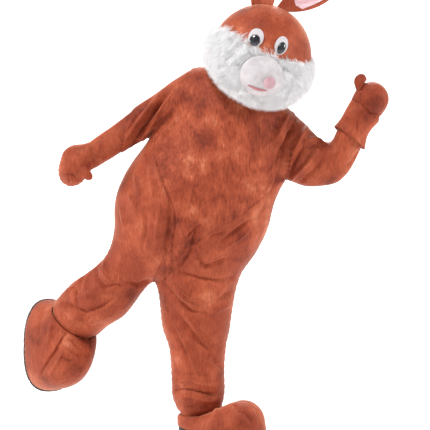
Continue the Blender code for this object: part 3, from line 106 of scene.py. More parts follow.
# Folds: the picture's points, half width and height in millimetres, and the side that shows them
Fold = namedtuple("Fold", "group line width height side")
FOLDS = (
    # sleeve on the picture's left
    Fold("suit", ((170, 93), (160, 104), (154, 113), (143, 130), (131.5, 150)), 9, -11, "front"),
    Fold("suit", ((174, 90), (160, 110), (148, 130), (139, 147)), 8, 7, "front"),
    Fold("suit", ((164, 91), (149, 108), (135, 126), (123, 142), (115, 155)), 10, 7, "front"),
    Fold("suit", ((150, 101), (138, 115), (126, 134)), 9, -5, "front"),
    Fold("suit", ((174, 111), (166, 120), (160, 126), (152, 135)), 9, -10, "front"),
    Fold("suit", ((178, 118), (170, 128), (160, 138)), 10, 6, "front"),
    Fold("suit", ((121, 124), (112, 138), (104, 152)), 8, -4, "front"),
    # side panel and belly
    Fold("suit", ((143.5, 156), (150, 172), (152, 181), (153.4, 197)), 8, 6, "front"),
    Fold("suit", ((135, 174), (138, 187), (141, 192)), 8, 6, "front"),
    Fold("suit", ((129, 193), (135, 206)), 8, 5, "front"),
    Fold("suit", ((121, 206), (124, 224)), 8, 5, "front"),
    Fold("suit", ((152, 137), (155, 158), (161, 177), (167, 192), (174, 210), (175.6, 224), (172.5, 242),
                  (172, 267)), 5, -5, "front"),
    Fold("suit", ((170, 203), (169, 222), (166, 242), (165, 262)), 8, -8, "front"),
    Fold("suit", ((160, 205), (158, 225), (156, 245)), 9, 5, "front"),
    Fold("suit", ((283, 155), (277, 178), (268, 200), (256, 219)), 6, -5, "front"),
    Fold("suit", ((146, 214), (146, 232), (142, 250)), 9, -5, "front"),
    # crotch
    Fold("suit", ((198, 226), (193, 239), (192, 250), (182, 264), (172, 272)), 8, -9, "front"),
    Fold("suit", ((188, 232), (181, 246), (176, 258)), 8, 6, "front"),
    Fold("suit", ((196, 227), (182, 241)), 6, -5, "front"),
    Fold("suit", ((221, 242), (236, 231), (251, 219.5)), 8, -8, "front"),
    Fold("suit", ((222, 249), (238, 239), (250, 228)), 7, 5, "front"),
    Fold("suit", ((208, 238), (225, 232)), 7, -5, "front"),
    Fold("suit", ((198, 255), (204, 268), (216, 263), (228, 258)), 7, -8, "front"),
    Fold("suit", ((206, 250), (212, 256), (222, 252)), 7, 6, "front"),
    Fold("suit", ((180, 272), (200, 279), (218, 281), (234, 277)), 8, -9, "front"),
    # standing leg
    Fold("suit", ((169.5, 276), (182.5, 288), (193, 298), (207.5, 302)), 9, 10, "front"),
    Fold("suit", ((163, 284), (176, 298), (190, 309), (205, 313)), 8, -9, "front"),
    Fold("suit", ((175, 289), (186, 301), (199, 311)), 7, 6, "front"),
    Fold("suit", ((172, 309), (182.5, 321), (196, 338), (211, 352)), 10, -9, "front"),
    Fold("suit", ((184, 314), (198, 328), (212, 341)), 9, 6, "front"),
    Fold("suit", ((169.5, 321), (178, 338), (185, 352), (191, 368.5)), 6, -7, "front"),
    Fold("suit", ((181, 336), (190, 354), (201, 379)), 8, 6, "front"),
    Fold("suit", ((218, 300), (225, 296), (232, 291.5)), 8, -8, "front"),
    Fold("suit", ((214, 312), (224, 307), (231, 304)), 8, 6, "front"),
    Fold("suit", ((212, 358), (220, 366), (226, 372)), 8, -6, "front"),
    Fold("suit", ((173, 390), (186, 389), (198, 391), (211, 394.5), (225, 392)), 5, -10, "front"),
    Fold("suit", ((172, 383), (188, 382), (206, 386), (222, 384)), 6, 7, "front"),
    Fold("suit", ((176, 398), (190, 398), (208, 401), (224, 398)), 6, 7, "front"),
    Fold("suit", ((178, 406), (192, 406), (206, 408)), 4, -6, "front"),
    Fold("suit", ((176, 372), (192, 374), (208, 378)), 6, -5, "front"),
    # raised leg
    Fold("suit", ((105, 262), (105, 275), (110, 280)), 8, 8, "front"),
    Fold("suit", ((96, 268), (97, 278), (104, 287), (115, 284), (122, 286.5)), 8, -9, "front"),
    Fold("suit", ((90, 271), (87, 280), (84, 288)), 7, 8, "front"),
    Fold("suit", ((83, 277), (79, 288), (74, 296)), 7, -7, "front"),
    Fold("suit", ((74.5, 286.5), (68, 291), (61, 295)), 7, 6, "front"),
    Fold("suit", ((75, 285.5), (75.5, 295), (78, 305)), 6, -6, "front"),
    Fold("suit", ((58, 297), (71, 306), (87, 312), (102, 306), (114, 297)), 8, -9, "front"),
    Fold("suit", ((60, 307), (74, 317), (92, 322), (108, 316)), 10, 6, "front"),
    Fold("suit", ((128, 282), (138, 285), (150, 280)), 8, -7, "front"),
    # shoulder and arm on the picture's right
    Fold("suit", ((298.5, 117), (291, 130), (286, 141.5), (279, 155.5)), 9, -12, "front"),
    Fold("suit", ((289, 112), (282, 126), (275, 140)), 9, 6, "front"),
    Fold("suit", ((308, 125.5), (301, 136), (294, 150), (291.5, 155.5), (288, 170), (284, 187)), 8, 10,
         "front"),
    Fold("suit", ((303, 146), (297, 159), (291.5, 170), (286, 185.5)), 6, -10, "front"),
    Fold("suit", ((306, 141), (312, 138.6), (319.5, 140), (326, 144)), 6, 6, "front"),
    Fold("suit", ((307, 147), (315, 145), (322, 150)), 6, -5, "front"),
    Fold("suit", ((317, 149), (308, 163), (290, 180.5)), 8, 8, "front"),
    Fold("suit", ((322, 158), (312, 172), (298, 184)), 8, -6, "front"),
    Fold("suit", ((360, 150), (355, 158), (345, 167)), 6, -6, "front"),
    Fold("suit", ((340, 150), (336, 160), (330, 168)), 9, -5, "front"),
    # mitt and gauntlet on the picture's right
    Fold("hand_left", ((350, 95), (356, 105), (363, 117), (372, 123), (378, 125)), 5, -7, "front"),
    Fold("hand_left", ((362, 87), (360, 98), (360, 103), (364, 109), (370, 113), (381, 114)), 4, -8, "front"),
    Fold("hand_left", ((362, 96), (373, 89)), 5, 4, "front"),
    Fold("hand_left", ((352, 110), (351, 124), (349, 138)), 5, 4, "front"),
    Fold("hand_left", ((358, 116), (357, 128), (354, 140)), 4, -5, "front"),
    Fold("hand_left", ((342, 124), (340, 136), (337, 146)), 5, -5, "front"),
    # mitt on the picture's left
    Fold("hand_right", ((65, 175), (71, 175), (79, 180)), 4, -6, "front"),
    Fold("hand_right", ((69, 176), (69, 184)), 4, -7, "front"),
    Fold("hand_right", ((78, 160), (80, 167), (81, 172)), 6, 4, "front"),
    Fold("hand_right", ((92, 144), (95, 157), (97, 168)), 4, -6, "front"),
    Fold("hand_right", ((99, 141), (102, 153), (104, 165)), 5, 4, "front"),
    # raised boot
    Fold("boot_right", ((67, 333), (63, 338), (60, 344), (56, 352), (48, 363), (42, 373)), 6, -9, "front"),
    Fold("boot_right", ((63, 352), (56, 363), (50, 374)), 7, 6, "front"),
    Fold("boot_right", ((60, 345), (68, 351), (77, 357)), 6, 6, "front"),
    Fold("boot_right", ((62, 357), (69, 361), (76, 362)), 6, -8, "front"),
    Fold("boot_right", ((67, 336), (74, 343), (82, 350)), 5, -5, "front"),
    Fold("boot_right", ((72, 333), (78, 340), (85, 345)), 5, 4, "front"),
    Fold("boot_right", ((44, 308), (40, 322), (38, 338)), 8, -4, "front"),
    Fold("boot_right", ((52, 318), (50, 334), (46, 350)), 10, 5, "front"),
    # standing boot
    Fold("boot_left", ((232, 403), (237, 410), (246, 413), (253, 425)), 4, -5, "front"),
    Fold("boot_left", ((200, 414), (196, 420), (192, 427)), 6, -5, "front"),
    Fold("boot_left", ((214, 408), (220, 414), (224, 424)), 8, 5, "front"),
    # head, between the eyes
    Fold("head", ((263, 50), (270, 55), (277.5, 57)), 4, -4, "front"),
    Fold("head", ((262, 44), (270, 48), (278, 50)), 4, 3, "front"),
    Fold("head", ((226, 20), (236, 32), (240, 42)), 7, -3, "front"),
    # the back, finished plainly
    Fold("suit", ((168, 97), (148, 125), (132, 152)), 9, -10, "back"),
    Fold("suit", ((182, 92), (165, 118), (150, 144)), 10, 6, "back"),
    Fold("suit", ((300, 120), (290, 142), (282, 170)), 9, -11, "back"),
    Fold("suit", ((312, 132), (302, 152), (294, 176)), 9, 8, "back"),
    Fold("suit", ((190, 120), (220, 132), (250, 140)), 12, -5, "back"),
    Fold("suit", ((140, 226), (165, 240), (188, 250)), 11, -9, "back"),
    Fold("suit", ((150, 215), (176, 228), (200, 236)), 11, 6, "back"),
    Fold("suit", ((232, 232), (214, 246), (196, 256)), 10, -8, "back"),
    Fold("suit", ((170, 284), (190, 294), (214, 300)), 9, 9, "back"),
    Fold("suit", ((168, 300), (190, 312), (216, 314)), 9, -9, "back"),
    Fold("suit", ((174, 324), (196, 336), (220, 340)), 9, 7, "back"),
    Fold("suit", ((174, 352), (194, 360), (218, 366)), 9, -7, "back"),
    Fold("suit", ((174, 391), (196, 392), (224, 393)), 5, -9, "back"),
    Fold("suit", ((174, 383), (196, 383), (222, 385)), 6, 6, "back"),
    Fold("suit", ((112, 268), (104, 284), (96, 298)), 9, -9, "back"),
    Fold("suit", ((92, 272), (84, 288), (76, 304)), 9, 8, "back"),
    Fold("suit", ((330, 148), (322, 162), (310, 176)), 8, -7, "back"),
    Fold("boot_right", ((60, 330), (50, 350), (44, 370)), 8, -6, "back"),
    Fold("hand_left", ((352, 100), (360, 112), (370, 120)), 6, -4, "back"),
)


def unit(vectors):
    """Each vector at length 1."""
    return vectors / np.maximum(np.linalg.norm(vectors, axis=-1, keepdims=True), 1e-9)


def away_from_bones(points, group):
    """Smooth directions that point away from the middle lines of a group's limbs."""
    total = np.zeros(points.shape)
    for rows in BONES[group]:
        best = np.full(len(points), np.inf)
        way = np.zeros(points.shape)
        for start, end in zip(rows, rows[1:]):
            first = np.array(start[:3])
            along = np.array(end[:3]) - first
            share = np.clip((points - first) @ along / (along @ along), 0.0, 1.0)
            offset = points - first - share[:, None] * along
            length = np.linalg.norm(offset, axis=1)
            gap = length - (start[3] + share * (end[3] - start[3]))
            near = gap < best
            best[near] = gap[near]
            way[near] = (offset / np.maximum(length, 1e-6)[:, None])[near]
        total += np.exp(-np.clip(best, -0.25, 0.5) / BONE_BLEND)[:, None] * way
    return unit(total)


def picture(points):
    """Where points fall in the picture's frame."""
    scale = PIXEL * (1 + points[:, 1] / DISTANCE)
    return np.stack([MIDDLE + (points[:, 0] - VIEW_X) / scale,
                     MIDDLE - (points[:, 2] - VIEW_Z) / scale], axis=1)


def lattice(cells, seed):
    """A repeatable value between -1 and 1 for each cell."""
    code = (cells[:, 0] * 73856093) ^ (cells[:, 1] * 19349663) ^ (cells[:, 2] * 83492791) ^ (seed * 2654435)
    code = (code ^ (code >> 13)) * 1274126177
    return ((code ^ (code >> 16)) & 65535) / 32767.5 - 1.0


def noise(points, size, seed):
    """Smooth noise between -1 and 1 whose lumps are about one size across."""
    places = points / size
    base = np.floor(places)
    share = places - base
    share = share * share * (3 - 2 * share)
    cells = base.astype(np.int64)
    total = np.zeros(len(points))
    for corner in range(8):
        step = np.array([corner & 1, corner >> 1 & 1, corner >> 2 & 1])
        weight = np.prod(np.where(step, share, 1 - share), axis=1)
        total += weight * lattice(cells + step, seed)
    return total


def fold_height(points, ways, group):
    """How far the folds of a group move the cloth at these points."""
    place = picture(points)
    height = np.zeros(len(points))
    wobble = 1.0 + 0.25 * noise(points, 0.045, 5)
    for fold in FOLDS:
        if fold.group != group:
            continue
        line = np.array(fold.line, float)
        lengths = np.linalg.norm(np.diff(line, axis=0), axis=1)
        run = np.concatenate([[0.0], np.cumsum(lengths)]) / lengths.sum()
        reach = 4 * fold.width / (PIXEL * 1000)
        low = line.min(axis=0) - reach
        high = line.max(axis=0) + reach
        near = np.all((place > low) & (place < high), axis=1)
        if not near.any():
            continue
        here = place[near]
        gap = np.full(len(here), np.inf)
        along = np.zeros(len(here))
        for index in range(len(line) - 1):
            step = line[index + 1] - line[index]
            share = np.clip((here - line[index]) @ step / (step @ step), 0.0, 1.0)
            apart = np.linalg.norm(here - line[index] - share[:, None] * step, axis=1)
            closer = apart < gap
            gap[closer] = apart[closer]
            along[closer] = (run[index] + share * (run[index + 1] - run[index]))[closer]
        facing = -ways[near, 1] if fold.side == "front" else ways[near, 1]
        shows = np.clip(facing * FOLD_TURN, 0.0, 1.0)
        taper = np.sin(math.pi * np.clip(FOLD_END + (1 - 2 * FOLD_END) * along, 0.0, 1.0)) ** FOLD_FADE
        width = fold.width / (PIXEL * 1000) * wobble[near]
        height[near] += fold.height * FOLD_SCALE * shows * taper * np.exp(-(gap / width) ** 2)
    return height


def add_object(name, data):
    """A new object in the scene."""
    piece = bpy.data.objects.new(name, data)
    bpy.context.scene.collection.objects.link(piece)
    return piece


def read_vectors(mesh, kind):
    """The places ("co") or normals ("normal") of a mesh's vertices, a row for each."""
    values = np.empty(len(mesh.vertices) * 3)
    mesh.vertices.foreach_get(kind, values)
    return values.reshape(-1, 3)


def finish_mesh(mesh, points, material):
    """Moves the vertices to these points, smooths the shading and gives the only material."""
    mesh.vertices.foreach_set("co", points.ravel())
    mesh.update()
    mesh.shade_smooth()
    mesh.materials.clear()
    mesh.materials.append(material)


def fine_copy(name, levels):
    """A finer copy of a node's mesh: its faces in quads again, its rims kept sharp."""
    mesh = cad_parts[name].data.copy()
    build = bmesh.new()
    build.from_mesh(mesh)
    bmesh.ops.remove_doubles(build, verts=build.verts, dist=1e-5)
    bmesh.ops.join_triangles(build, faces=build.faces, angle_face_threshold=math.radians(40),
                             angle_shape_threshold=math.radians(50))
    crease = build.edges.layers.float.new("crease_edge")
    rim = []
    for edge in build.edges:
        if len(edge.link_faces) == 2 and edge.calc_face_angle(0.0) > math.radians(RIM_TURN):
            edge[crease] = RIM_CREASE
            rim += [vertex.co.copy() for vertex in edge.verts]
            rim.append((edge.verts[0].co + edge.verts[1].co) / 2)
    build.to_mesh(mesh)
    build.free()
    piece = add_object(name + "_dressed", mesh)
    if levels:
        modifier = piece.modifiers.new("finer", "SUBSURF")
        modifier.levels = levels
        modifier.render_levels = levels
        graph = bpy.context.evaluated_depsgraph_get()
        finer = bpy.data.meshes.new_from_object(piece.evaluated_get(graph))
        piece.modifiers.clear()
        piece.data = finer
    return piece, rim


def rim_gap(points, rim):
    """Distance from each point to the nearest rim of its panel, up to RIM_REACH."""
    gaps = np.full(len(points), RIM_REACH)
    if not rim:
        return gaps
    tree = kdtree.KDTree(len(rim))
    for index, place in enumerate(rim):
        tree.insert(place, index)
    tree.balance()
    for index, point in enumerate(points):
        gaps[index] = min(RIM_REACH, tree.find(point)[2])
    return gaps


# How each node is dressed: bones, subdivision, seam groove and swell in millimetres, material
Look = namedtuple("Look", "group levels groove swell material")
LOOKS = {
    "suit_bib": Look("suit", 3, 2.6, 2.6, "pile"),
    "suit_front_right": Look("suit", 3, 2.4, 2.2, "plush"),
    "suit_front_left": Look("suit", 3, 2.4, 2.2, "plush"),
    "suit_back_right": Look("suit", 2, 2.4, 2.2, "plush"),
    "suit_back_left": Look("suit", 2, 2.4, 2.2, "plush"),
    "sleeve_right": Look("suit", 3, 2.4, 2.2, "plush"),
    "sleeve_left": Look("suit", 3, 2.4, 2.2, "plush"),
    "gauntlet_right": Look("hand_right", 2, 1.5, 1.6, "plush"),
    "gauntlet_left": Look("hand_left", 2, 1.5, 1.6, "plush"),
    "mitt_back_right": Look("hand_right", 3, 2.2, 1.6, "plush"),
    "mitt_palm_right": Look("hand_right", 3, 2.2, 1.6, "plush"),
    "mitt_back_left": Look("hand_left", 3, 2.2, 1.6, "plush"),
    "mitt_palm_left": Look("hand_left", 3, 2.2, 1.6, "plush"),
    "thumb_right": Look("hand_right", 2, 0.0, 0.6, "plush"),
    "thumb_left": Look("hand_left", 2, 0.0, 0.6, "plush"),
    "boot_inner_left": Look("boot_left", 2, 3.0, 2.5, "plush"),
    "boot_outer_left": Look("boot_left", 2, 3.0, 2.5, "plush"),
    "boot_inner_right": Look("boot_right", 3, 3.0, 2.5, "plush"),
    "boot_outer_right": Look("boot_right", 3, 3.0, 2.5, "plush"),
    "boot_cuff_left": Look("boot_left", 1, 0.0, 0.3, "plush"),
    "boot_cuff_right": Look("boot_right", 1, 0.0, 0.3, "plush"),
    "head_crown": Look("head", 3, 1.2, 1.8, "plush"),
    "head_back": Look("head", 2, 1.5, 1.8, "plush"),
    "muzzle": Look("head", 2, 0.0, 0.5, "felt"),
    "nose": Look("head", 2, 0.0, 0.2, "nose"),
    "mouth": Look("head", 2, 0.0, 0.0, "mouth"),
    "eye_white_left": Look("head", 2, 0.0, 0.0, "felt"),
    "eye_white_right": Look("head", 2, 0.0, 0.0, "felt"),
    "pupil_left": Look("head", 2, 0.0, 0.0, "pupil"),
    "pupil_right": Look("head", 2, 0.0, 0.0, "pupil"),
    "ear_back_left": Look("head", 2, 0.0, 0.6, "plush"),
    "ear_back_right": Look("head", 2, 0.0, 0.6, "plush"),
    "ear_lining_left": Look("head", 3, 0.0, 0.8, "satin"),
    "ear_lining_right": Look("head", 3, 0.0, 0.8, "satin"),
    "zip_strip": Look("suit", 1, 0.0, 0.0, "tape"),
}


def dress(name, look):
    """One node's finer piece, with its folds, seam grooves and soft unevenness."""
    piece, rim = fine_copy(name, look.levels)
    points = read_vectors(piece.data, "co")
    ways = away_from_bones(points, look.group)
    height = fold_height(points, ways, look.group)
    if look.groove:
        gap = rim_gap(points, rim)
        height *= np.clip(gap / RIM_FADE, 0.25, 1.0)
        height -= look.groove * 0.001 * np.exp(-(gap / GROOVE_WIDTH) ** 2)
    swell = sum(share * noise(points, size, seed) for size, share, seed in SWELLS)
    height += look.swell * 0.001 * swell
    points += ways * height[:, None]
    if name.startswith("ear_"):
        reach = np.linalg.norm(points - HEAD, axis=1)
        rooted = np.exp(-np.maximum(reach - reach.min(), 0.0) / EAR_ROOT_FADE)
        points -= unit(points - HEAD) * (EAR_ROOT * rooted)[:, None]
    if name.startswith("thumb_"):
        middle = points.mean(axis=0)
        points = middle + (points - middle) * THUMB_SWELL
    finish_mesh(piece.data, points, MATERIALS[look.material])
    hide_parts(name)
    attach(piece, "root")
    return piece


# Materials
def material_of(name):
    """A new material, its node tree and its shader."""
    material = bpy.data.materials.new(name)
    material.use_nodes = True
    return material, material.node_tree, material.node_tree.nodes["Principled BSDF"]


def set_values(shader, **values):
    """Plain values on a shader's sockets, with _ for each space in a socket's name."""
    for name, value in values.items():
        shader.inputs[name.replace("_", " ")].default_value = value


def noise_node(tree, scale, detail, rough, stretch=(1, 1, 1), turn=(0, 0, 0)):
    """Object-space noise, stretched as given."""
    place = tree.nodes.new("ShaderNodeTexCoord")
    fit = tree.nodes.new("ShaderNodeMapping")
    fit.inputs["Scale"].default_value = stretch
    fit.inputs["Rotation"].default_value = turn
    texture = tree.nodes.new("ShaderNodeTexNoise")
    texture.inputs["Scale"].default_value = scale
    texture.inputs["Detail"].default_value = detail
    texture.inputs["Roughness"].default_value = rough
    tree.links.new(place.outputs["Object"], fit.inputs["Vector"])
    tree.links.new(fit.outputs["Vector"], texture.inputs["Vector"])
    return texture


def ramp(tree, source, stops):
    """A colour ramp over a source: place and colour of each stop."""
    node = tree.nodes.new("ShaderNodeValToRGB")
    node.color_ramp.interpolation = "EASE"
    while len(node.color_ramp.elements) < len(stops):
        node.color_ramp.elements.new(0.5)
    for element, (place, colour) in zip(node.color_ramp.elements, stops):
        element.position = place
        element.color = (*colour, 1.0)
    tree.links.new(source, node.inputs["Fac"])
    return node


def multiplied(tree, one, two, share):
    """One colour multiplied by another, by a share of the full effect."""
    node = tree.nodes.new("ShaderNodeMix")
    node.data_type = "RGBA"
    node.blend_type = "MULTIPLY"
    tree.links.new(one, node.inputs[6])
    tree.links.new(two, node.inputs[7])
    node.inputs[0].default_value = share
    return node.outputs[2]


def bumped(tree, shader, parts):
    """Bump from several textures: output, strength and depth in metres of each."""
    previous = None
    for output, strength, depth in parts:
        bump = tree.nodes.new("ShaderNodeBump")
        bump.inputs["Strength"].default_value = strength
        bump.inputs["Distance"].default_value = depth
        tree.links.new(output, bump.inputs["Height"])
        if previous is not None:
            tree.links.new(previous, bump.inputs["Normal"])
        previous = bump.outputs["Normal"]
    tree.links.new(previous, shader.inputs["Normal"])


# Plush in random patches, as where its nap lies another way: from painted shade through its own browns to a
# painted salmon sheen highlight. Its streaks are a factor on that, lightened by painted sheen
PLUSH_SHADE_TO_SHEEN_TONES = ((0.28, (0.190, 0.028, 0.011)), (0.45, (0.310, 0.053, 0.021)),
               (0.58, (0.400, 0.080, 0.033)), (0.76, (0.580, 0.170, 0.085)))
STREAK_SHEEN_FACTORS = ((0.30, (0.62, 0.55, 0.52)), (0.52, (1.0, 1.0, 1.0)), (0.72, (1.30, 1.36, 1.42)))


def plush(name, streak_sheen_share, pile_depth, patch):
    """Short brown pile: patches where the nap lies another way, coloured from painted shade to a painted
    sheen highlight, fine streaks lightened by painted sheen, soft sheen.
    """
    material, tree, shader = material_of(name)
    broad = noise_node(tree, patch, 3.0, 0.55, (1.0, 1.0, 0.8), (0.0, 0.5, 0.0))
    streak = noise_node(tree, 150.0, 4.0, 0.65, (1.0, 1.0, 0.22), (0.0, 0.38, 0.0))
    # Painted shade at the dark end of these random tones, and a painted salmon sheen highlight at the bright
    # end
    base = ramp(tree, broad.outputs["Fac"], PLUSH_SHADE_TO_SHEEN_TONES)
    # Streaks darken and lighten the colour; the lightening is a painted sheen highlight
    fine = ramp(tree, streak.outputs["Fac"], STREAK_SHEEN_FACTORS)
    colour = multiplied(tree, base.outputs["Color"], fine.outputs["Color"], streak_sheen_share)
    tree.links.new(colour, shader.inputs["Base Color"])
    pile = noise_node(tree, 420.0, 3.0, 0.7, (1.0, 1.0, 0.4), (0.0, 0.38, 0.0))
    lumps = noise_node(tree, 46.0, 3.0, 0.6)
    bumped(tree, shader, ((lumps.outputs["Fac"], 0.55, pile_depth * 2.2),
                          (streak.outputs["Fac"], 0.6, pile_depth),
                          (pile.outputs["Fac"], 0.7, pile_depth * 0.5)))
    set_values(shader, Roughness=0.6, Sheen_Weight=0.7, Sheen_Roughness=0.30,
               Sheen_Tint=(1.0, 0.55, 0.38, 1.0), Specular_IOR_Level=0.2)
    return material


def felt(name, low, high, sheen):
    """Smooth short nap or felt, faintly uneven."""
    material, tree, shader = material_of(name)
    cloud = noise_node(tree, 30.0, 3.0, 0.6)
    fibre = noise_node(tree, 700.0, 4.0, 0.75)
    base = ramp(tree, cloud.outputs["Fac"], ((0.3, low), (0.65, high)))
    tree.links.new(base.outputs["Color"], shader.inputs["Base Color"])
    bumped(tree, shader, ((cloud.outputs["Fac"], 0.2, 0.002), (fibre.outputs["Fac"], 0.5, 0.0006)))
    set_values(shader, Roughness=0.8, Sheen_Weight=sheen, Sheen_Roughness=0.5, Specular_IOR_Level=0.2)
    return material


def satin(name):
    """Pink satin: fine weave, soft creases, a bright smooth sheen."""
    material, tree, shader = material_of(name)
    cloud = noise_node(tree, 22.0, 2.0, 0.5, (1.0, 1.0, 3.0))
    crease = noise_node(tree, 40.0, 3.0, 0.5, (0.5, 1.0, 2.4), (0.0, 0.3, 0.0))
    weave = noise_node(tree, 1600.0, 2.0, 0.5, (1.0, 1.0, 0.15))
    base = ramp(tree, cloud.outputs["Fac"], ((0.3, (0.62, 0.36, 0.40)), (0.7, (0.80, 0.56, 0.60))))
    tree.links.new(base.outputs["Color"], shader.inputs["Base Color"])
    bumped(tree, shader, ((crease.outputs["Fac"], 0.6, 0.004), (weave.outputs["Fac"], 0.15, 0.0003)))
    set_values(shader, Roughness=0.34, Specular_IOR_Level=0.6, Sheen_Weight=0.3)
    return material


def hard(name, low, high, rough, depth, metal=0.0, coat=0.0):
    """Rubber, plastic or metal, with fine unevenness in its colour and surface."""
    material, tree, shader = material_of(name)
    cloud = noise_node(tree, 60.0, 4.0, 0.6)
    grain = noise_node(tree, 520.0, 3.0, 0.6)
    base = ramp(tree, cloud.outputs["Fac"], ((0.35, low), (0.7, high)))
    tree.links.new(base.outputs["Color"], shader.inputs["Base Color"])
    bumped(tree, shader, ((grain.outputs["Fac"], 0.3, depth),))
    set_values(shader, Roughness=rough, Metallic=metal, Coat_Weight=coat)
    return material


def fur(name):
    """White strands, slightly shaded toward pink grey."""
    material, tree, shader = material_of(name)
    cloud = noise_node(tree, 26.0, 3.0, 0.6)
    base = ramp(tree, cloud.outputs["Fac"], ((0.28, (0.93, 0.90, 0.92)), (0.5, (0.99, 0.985, 0.99))))
    tree.links.new(base.outputs["Color"], shader.inputs["Base Color"])
    set_values(shader, Roughness=0.55, Sheen_Weight=0.8, Specular_IOR_Level=0.3)
    return material


MATERIALS = {
    # Both browns hold painted shade and painted sheen highlights in their base colour
    "plush": plush("plush_brown", 0.75, 0.0013, 9.0),
    "pile": plush("pile_brown", 1.0, 0.0026, 15.0),
    "felt": felt("felt_white", (0.52, 0.48, 0.49), (0.62, 0.58, 0.59), 0.1),
    "nose": felt("nose_pink", (0.44, 0.24, 0.27), (0.54, 0.33, 0.36), 0.3),
    "mouth": felt("mouth_pink", (0.44, 0.16, 0.17), (0.52, 0.22, 0.23), 0.2),
    "satin": satin("satin_pink"),
    "pupil": hard("pupil_dark", (0.012, 0.012, 0.016), (0.03, 0.03, 0.036), 0.16, 0.0002, 0.0, 0.6),
    "tape": hard("tape_brown", (0.07, 0.022, 0.012), (0.12, 0.04, 0.022), 0.75, 0.0006),
    "rubber": hard("rubber_black", (0.010, 0.009, 0.009), (0.028, 0.026, 0.026), 0.62, 0.0008),
    "brass": hard("brass_dull", (0.42, 0.28, 0.12), (0.60, 0.43, 0.20), 0.38, 0.0002, 1.0),
    "fur": fur("fur_white"),
}
pieces = {name: dress(name, look) for name, look in LOOKS.items()}

# Soles, drawn in under the uppers
for name in ("boot_sole_left", "boot_sole_right"):
    sole, _ = fine_copy(name, 2)
    spots = read_vectors(sole.data, "co")
    finish_mesh(sole.data, spots.mean(axis=0) + (spots - spots.mean(axis=0)) * SOLE_DRAW, MATERIALS["rubber"])
    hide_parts(name)
    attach(sole, "root")

# The zip's hard parts keep their solids
for name in ("zip_slider", "zip_pull"):
    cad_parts[name].data.materials.clear()
    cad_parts[name].data.materials.append(MATERIALS["brass"])

# Fields for a cut of cloth: flat width, flat length and area of each cut
Cut = namedtuple("Cut", "width length area")

# Zip teeth: pitch on each side, reach across, half length, seat above the tape's middle and rise
TOOTH_PITCH = 0.0028
TOOTH_REACH = 0.0022
TOOTH_HALF = 0.0008
TOOTH_SEAT = 0.0010
TOOTH_RISE = 0.0012
# How far a tooth reaches back past the middle line, and how much shorter its top is, as shares
TOOTH_BACK = -0.25
TOOTH_TAPER = 0.3
TOOTH_FACES = ((0, 1, 3, 2), (4, 6, 7, 5), (0, 4, 5, 1), (2, 3, 7, 6), (0, 2, 6, 4), (1, 5, 7, 3))
# The rows stop this far from the tape's ends. Their line is found in ROW_PLACES places, each the
# middle of the tape's ROW_NEAREST nearest points
ROW_MARGIN = 0.01
ROW_PLACES = 60
ROW_NEAREST = 12


def tape_line():
    """The middle line of the zip's tape, from one end to the other."""
    mesh = pieces["zip_strip"].data
    points = np.array([tuple(vertex.co) for vertex in mesh.vertices])
    along = points @ TRUNK_UP
    places = np.linspace(along.min() + ROW_MARGIN, along.max() - ROW_MARGIN, ROW_PLACES)
    line = []
    for place in places:
        near = np.argsort(np.abs(along - place))[:ROW_NEAREST]
        line.append(points[near].mean(axis=0))
    line = np.array(line)
    line[1:-1] = (line[:-2] + 2 * line[1:-1] + line[2:]) / 4
    return line


def build_teeth():
    """Two interlocking rows of teeth on the middle line of the zip's tape."""
    line = tape_line()
    gaps = np.linalg.norm(np.diff(line, axis=0), axis=1)
    run = np.concatenate([[0.0], np.cumsum(gaps)])
    stops = np.arange(0.0, run[-1], TOOTH_PITCH / 2)
    middles = np.stack([np.interp(stops, run, line[:, axis]) for axis in range(3)], axis=1)
    ways = away_from_bones(middles, "suit")
    down = unit(np.gradient(middles, axis=0))
    across = unit(np.cross(ways, down))
    verts = []
    faces = []
    for index in range(len(middles)):
        sign = 1 if index % 2 else -1
        for high in (0.0, 1.0):
            for wide in (TOOTH_BACK, 1.0):
                for long in (-1, 1):
                    place = (middles[index] + ways[index] * (TOOTH_SEAT + TOOTH_RISE * high)
                             + across[index] * sign * wide * TOOTH_REACH
                             + down[index] * long * TOOTH_HALF * (1.0 - TOOTH_TAPER * high))
                    verts.append(tuple(place))
        base = index * 8
        for face in TOOTH_FACES:
            faces.append([base + corner for corner in face])
    teeth = bpy.data.meshes.new("zip_teeth")
    teeth.from_pydata(verts, [], faces)
    teeth.materials.append(MATERIALS["brass"])
    piece = add_object("zip_teeth", teeth)
    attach(piece, "root")


build_teeth()

# White fur round the face: strands in each of two pieces, and how far the base lies under the solid
STRANDS = 48000
STRAND_LENGTH = 0.040
LENGTH_SHARES = (0.65, 1.1)
STRAND_WIDTH = 0.0010
BEND_WIDTH = 0.8
FUR_BASE_DROP = 0.016
SEED = 11
# How squarely a triangle of the ruff has to face out to carry strands
OUTER_FACING = 0.15
# The way strands are combed: out from the head, down, and more to the sides, with clumps and strays
COMB_OUT = 0.55
COMB_DOWN = np.array([0.0, 0.12, -0.55])
COMB_SIDEWAYS = np.array([[1.0, 0.0, 0.3]])
COMB_SPREAD = 0.7
CLUMP_SIZE = 0.020
CLUMP_SEED = 20
CLUMP_SHARE = 0.55
STRAY_SHARE = 0.20
# Where tips end from the ruff's surface, how much deeper roots lie, and how far strands bow out
TIP_RANGE = (-0.009, 0.011)
ROOT_DROP = 0.004
BEND_RISE = 0.005


def outer_triangles(mesh, points):
    """First corner, two sides and area of each of the ruff's triangles, with no area for inner ones."""
    mesh.calc_loop_triangles()
    corners = np.empty(len(mesh.loop_triangles) * 3, int)
    mesh.loop_triangles.foreach_get("vertices", corners)
    corners = corners.reshape(-1, 3)
    first, second, third = (points[corners[:, k]] for k in range(3))
    cross = np.cross(second - first, third - first)
    area = np.linalg.norm(cross, axis=1) / 2
    outward = np.sum(unit(cross) * unit((first + second + third) / 3 - HEAD), axis=1) > OUTER_FACING
    return first, second - first, third - first, area * outward


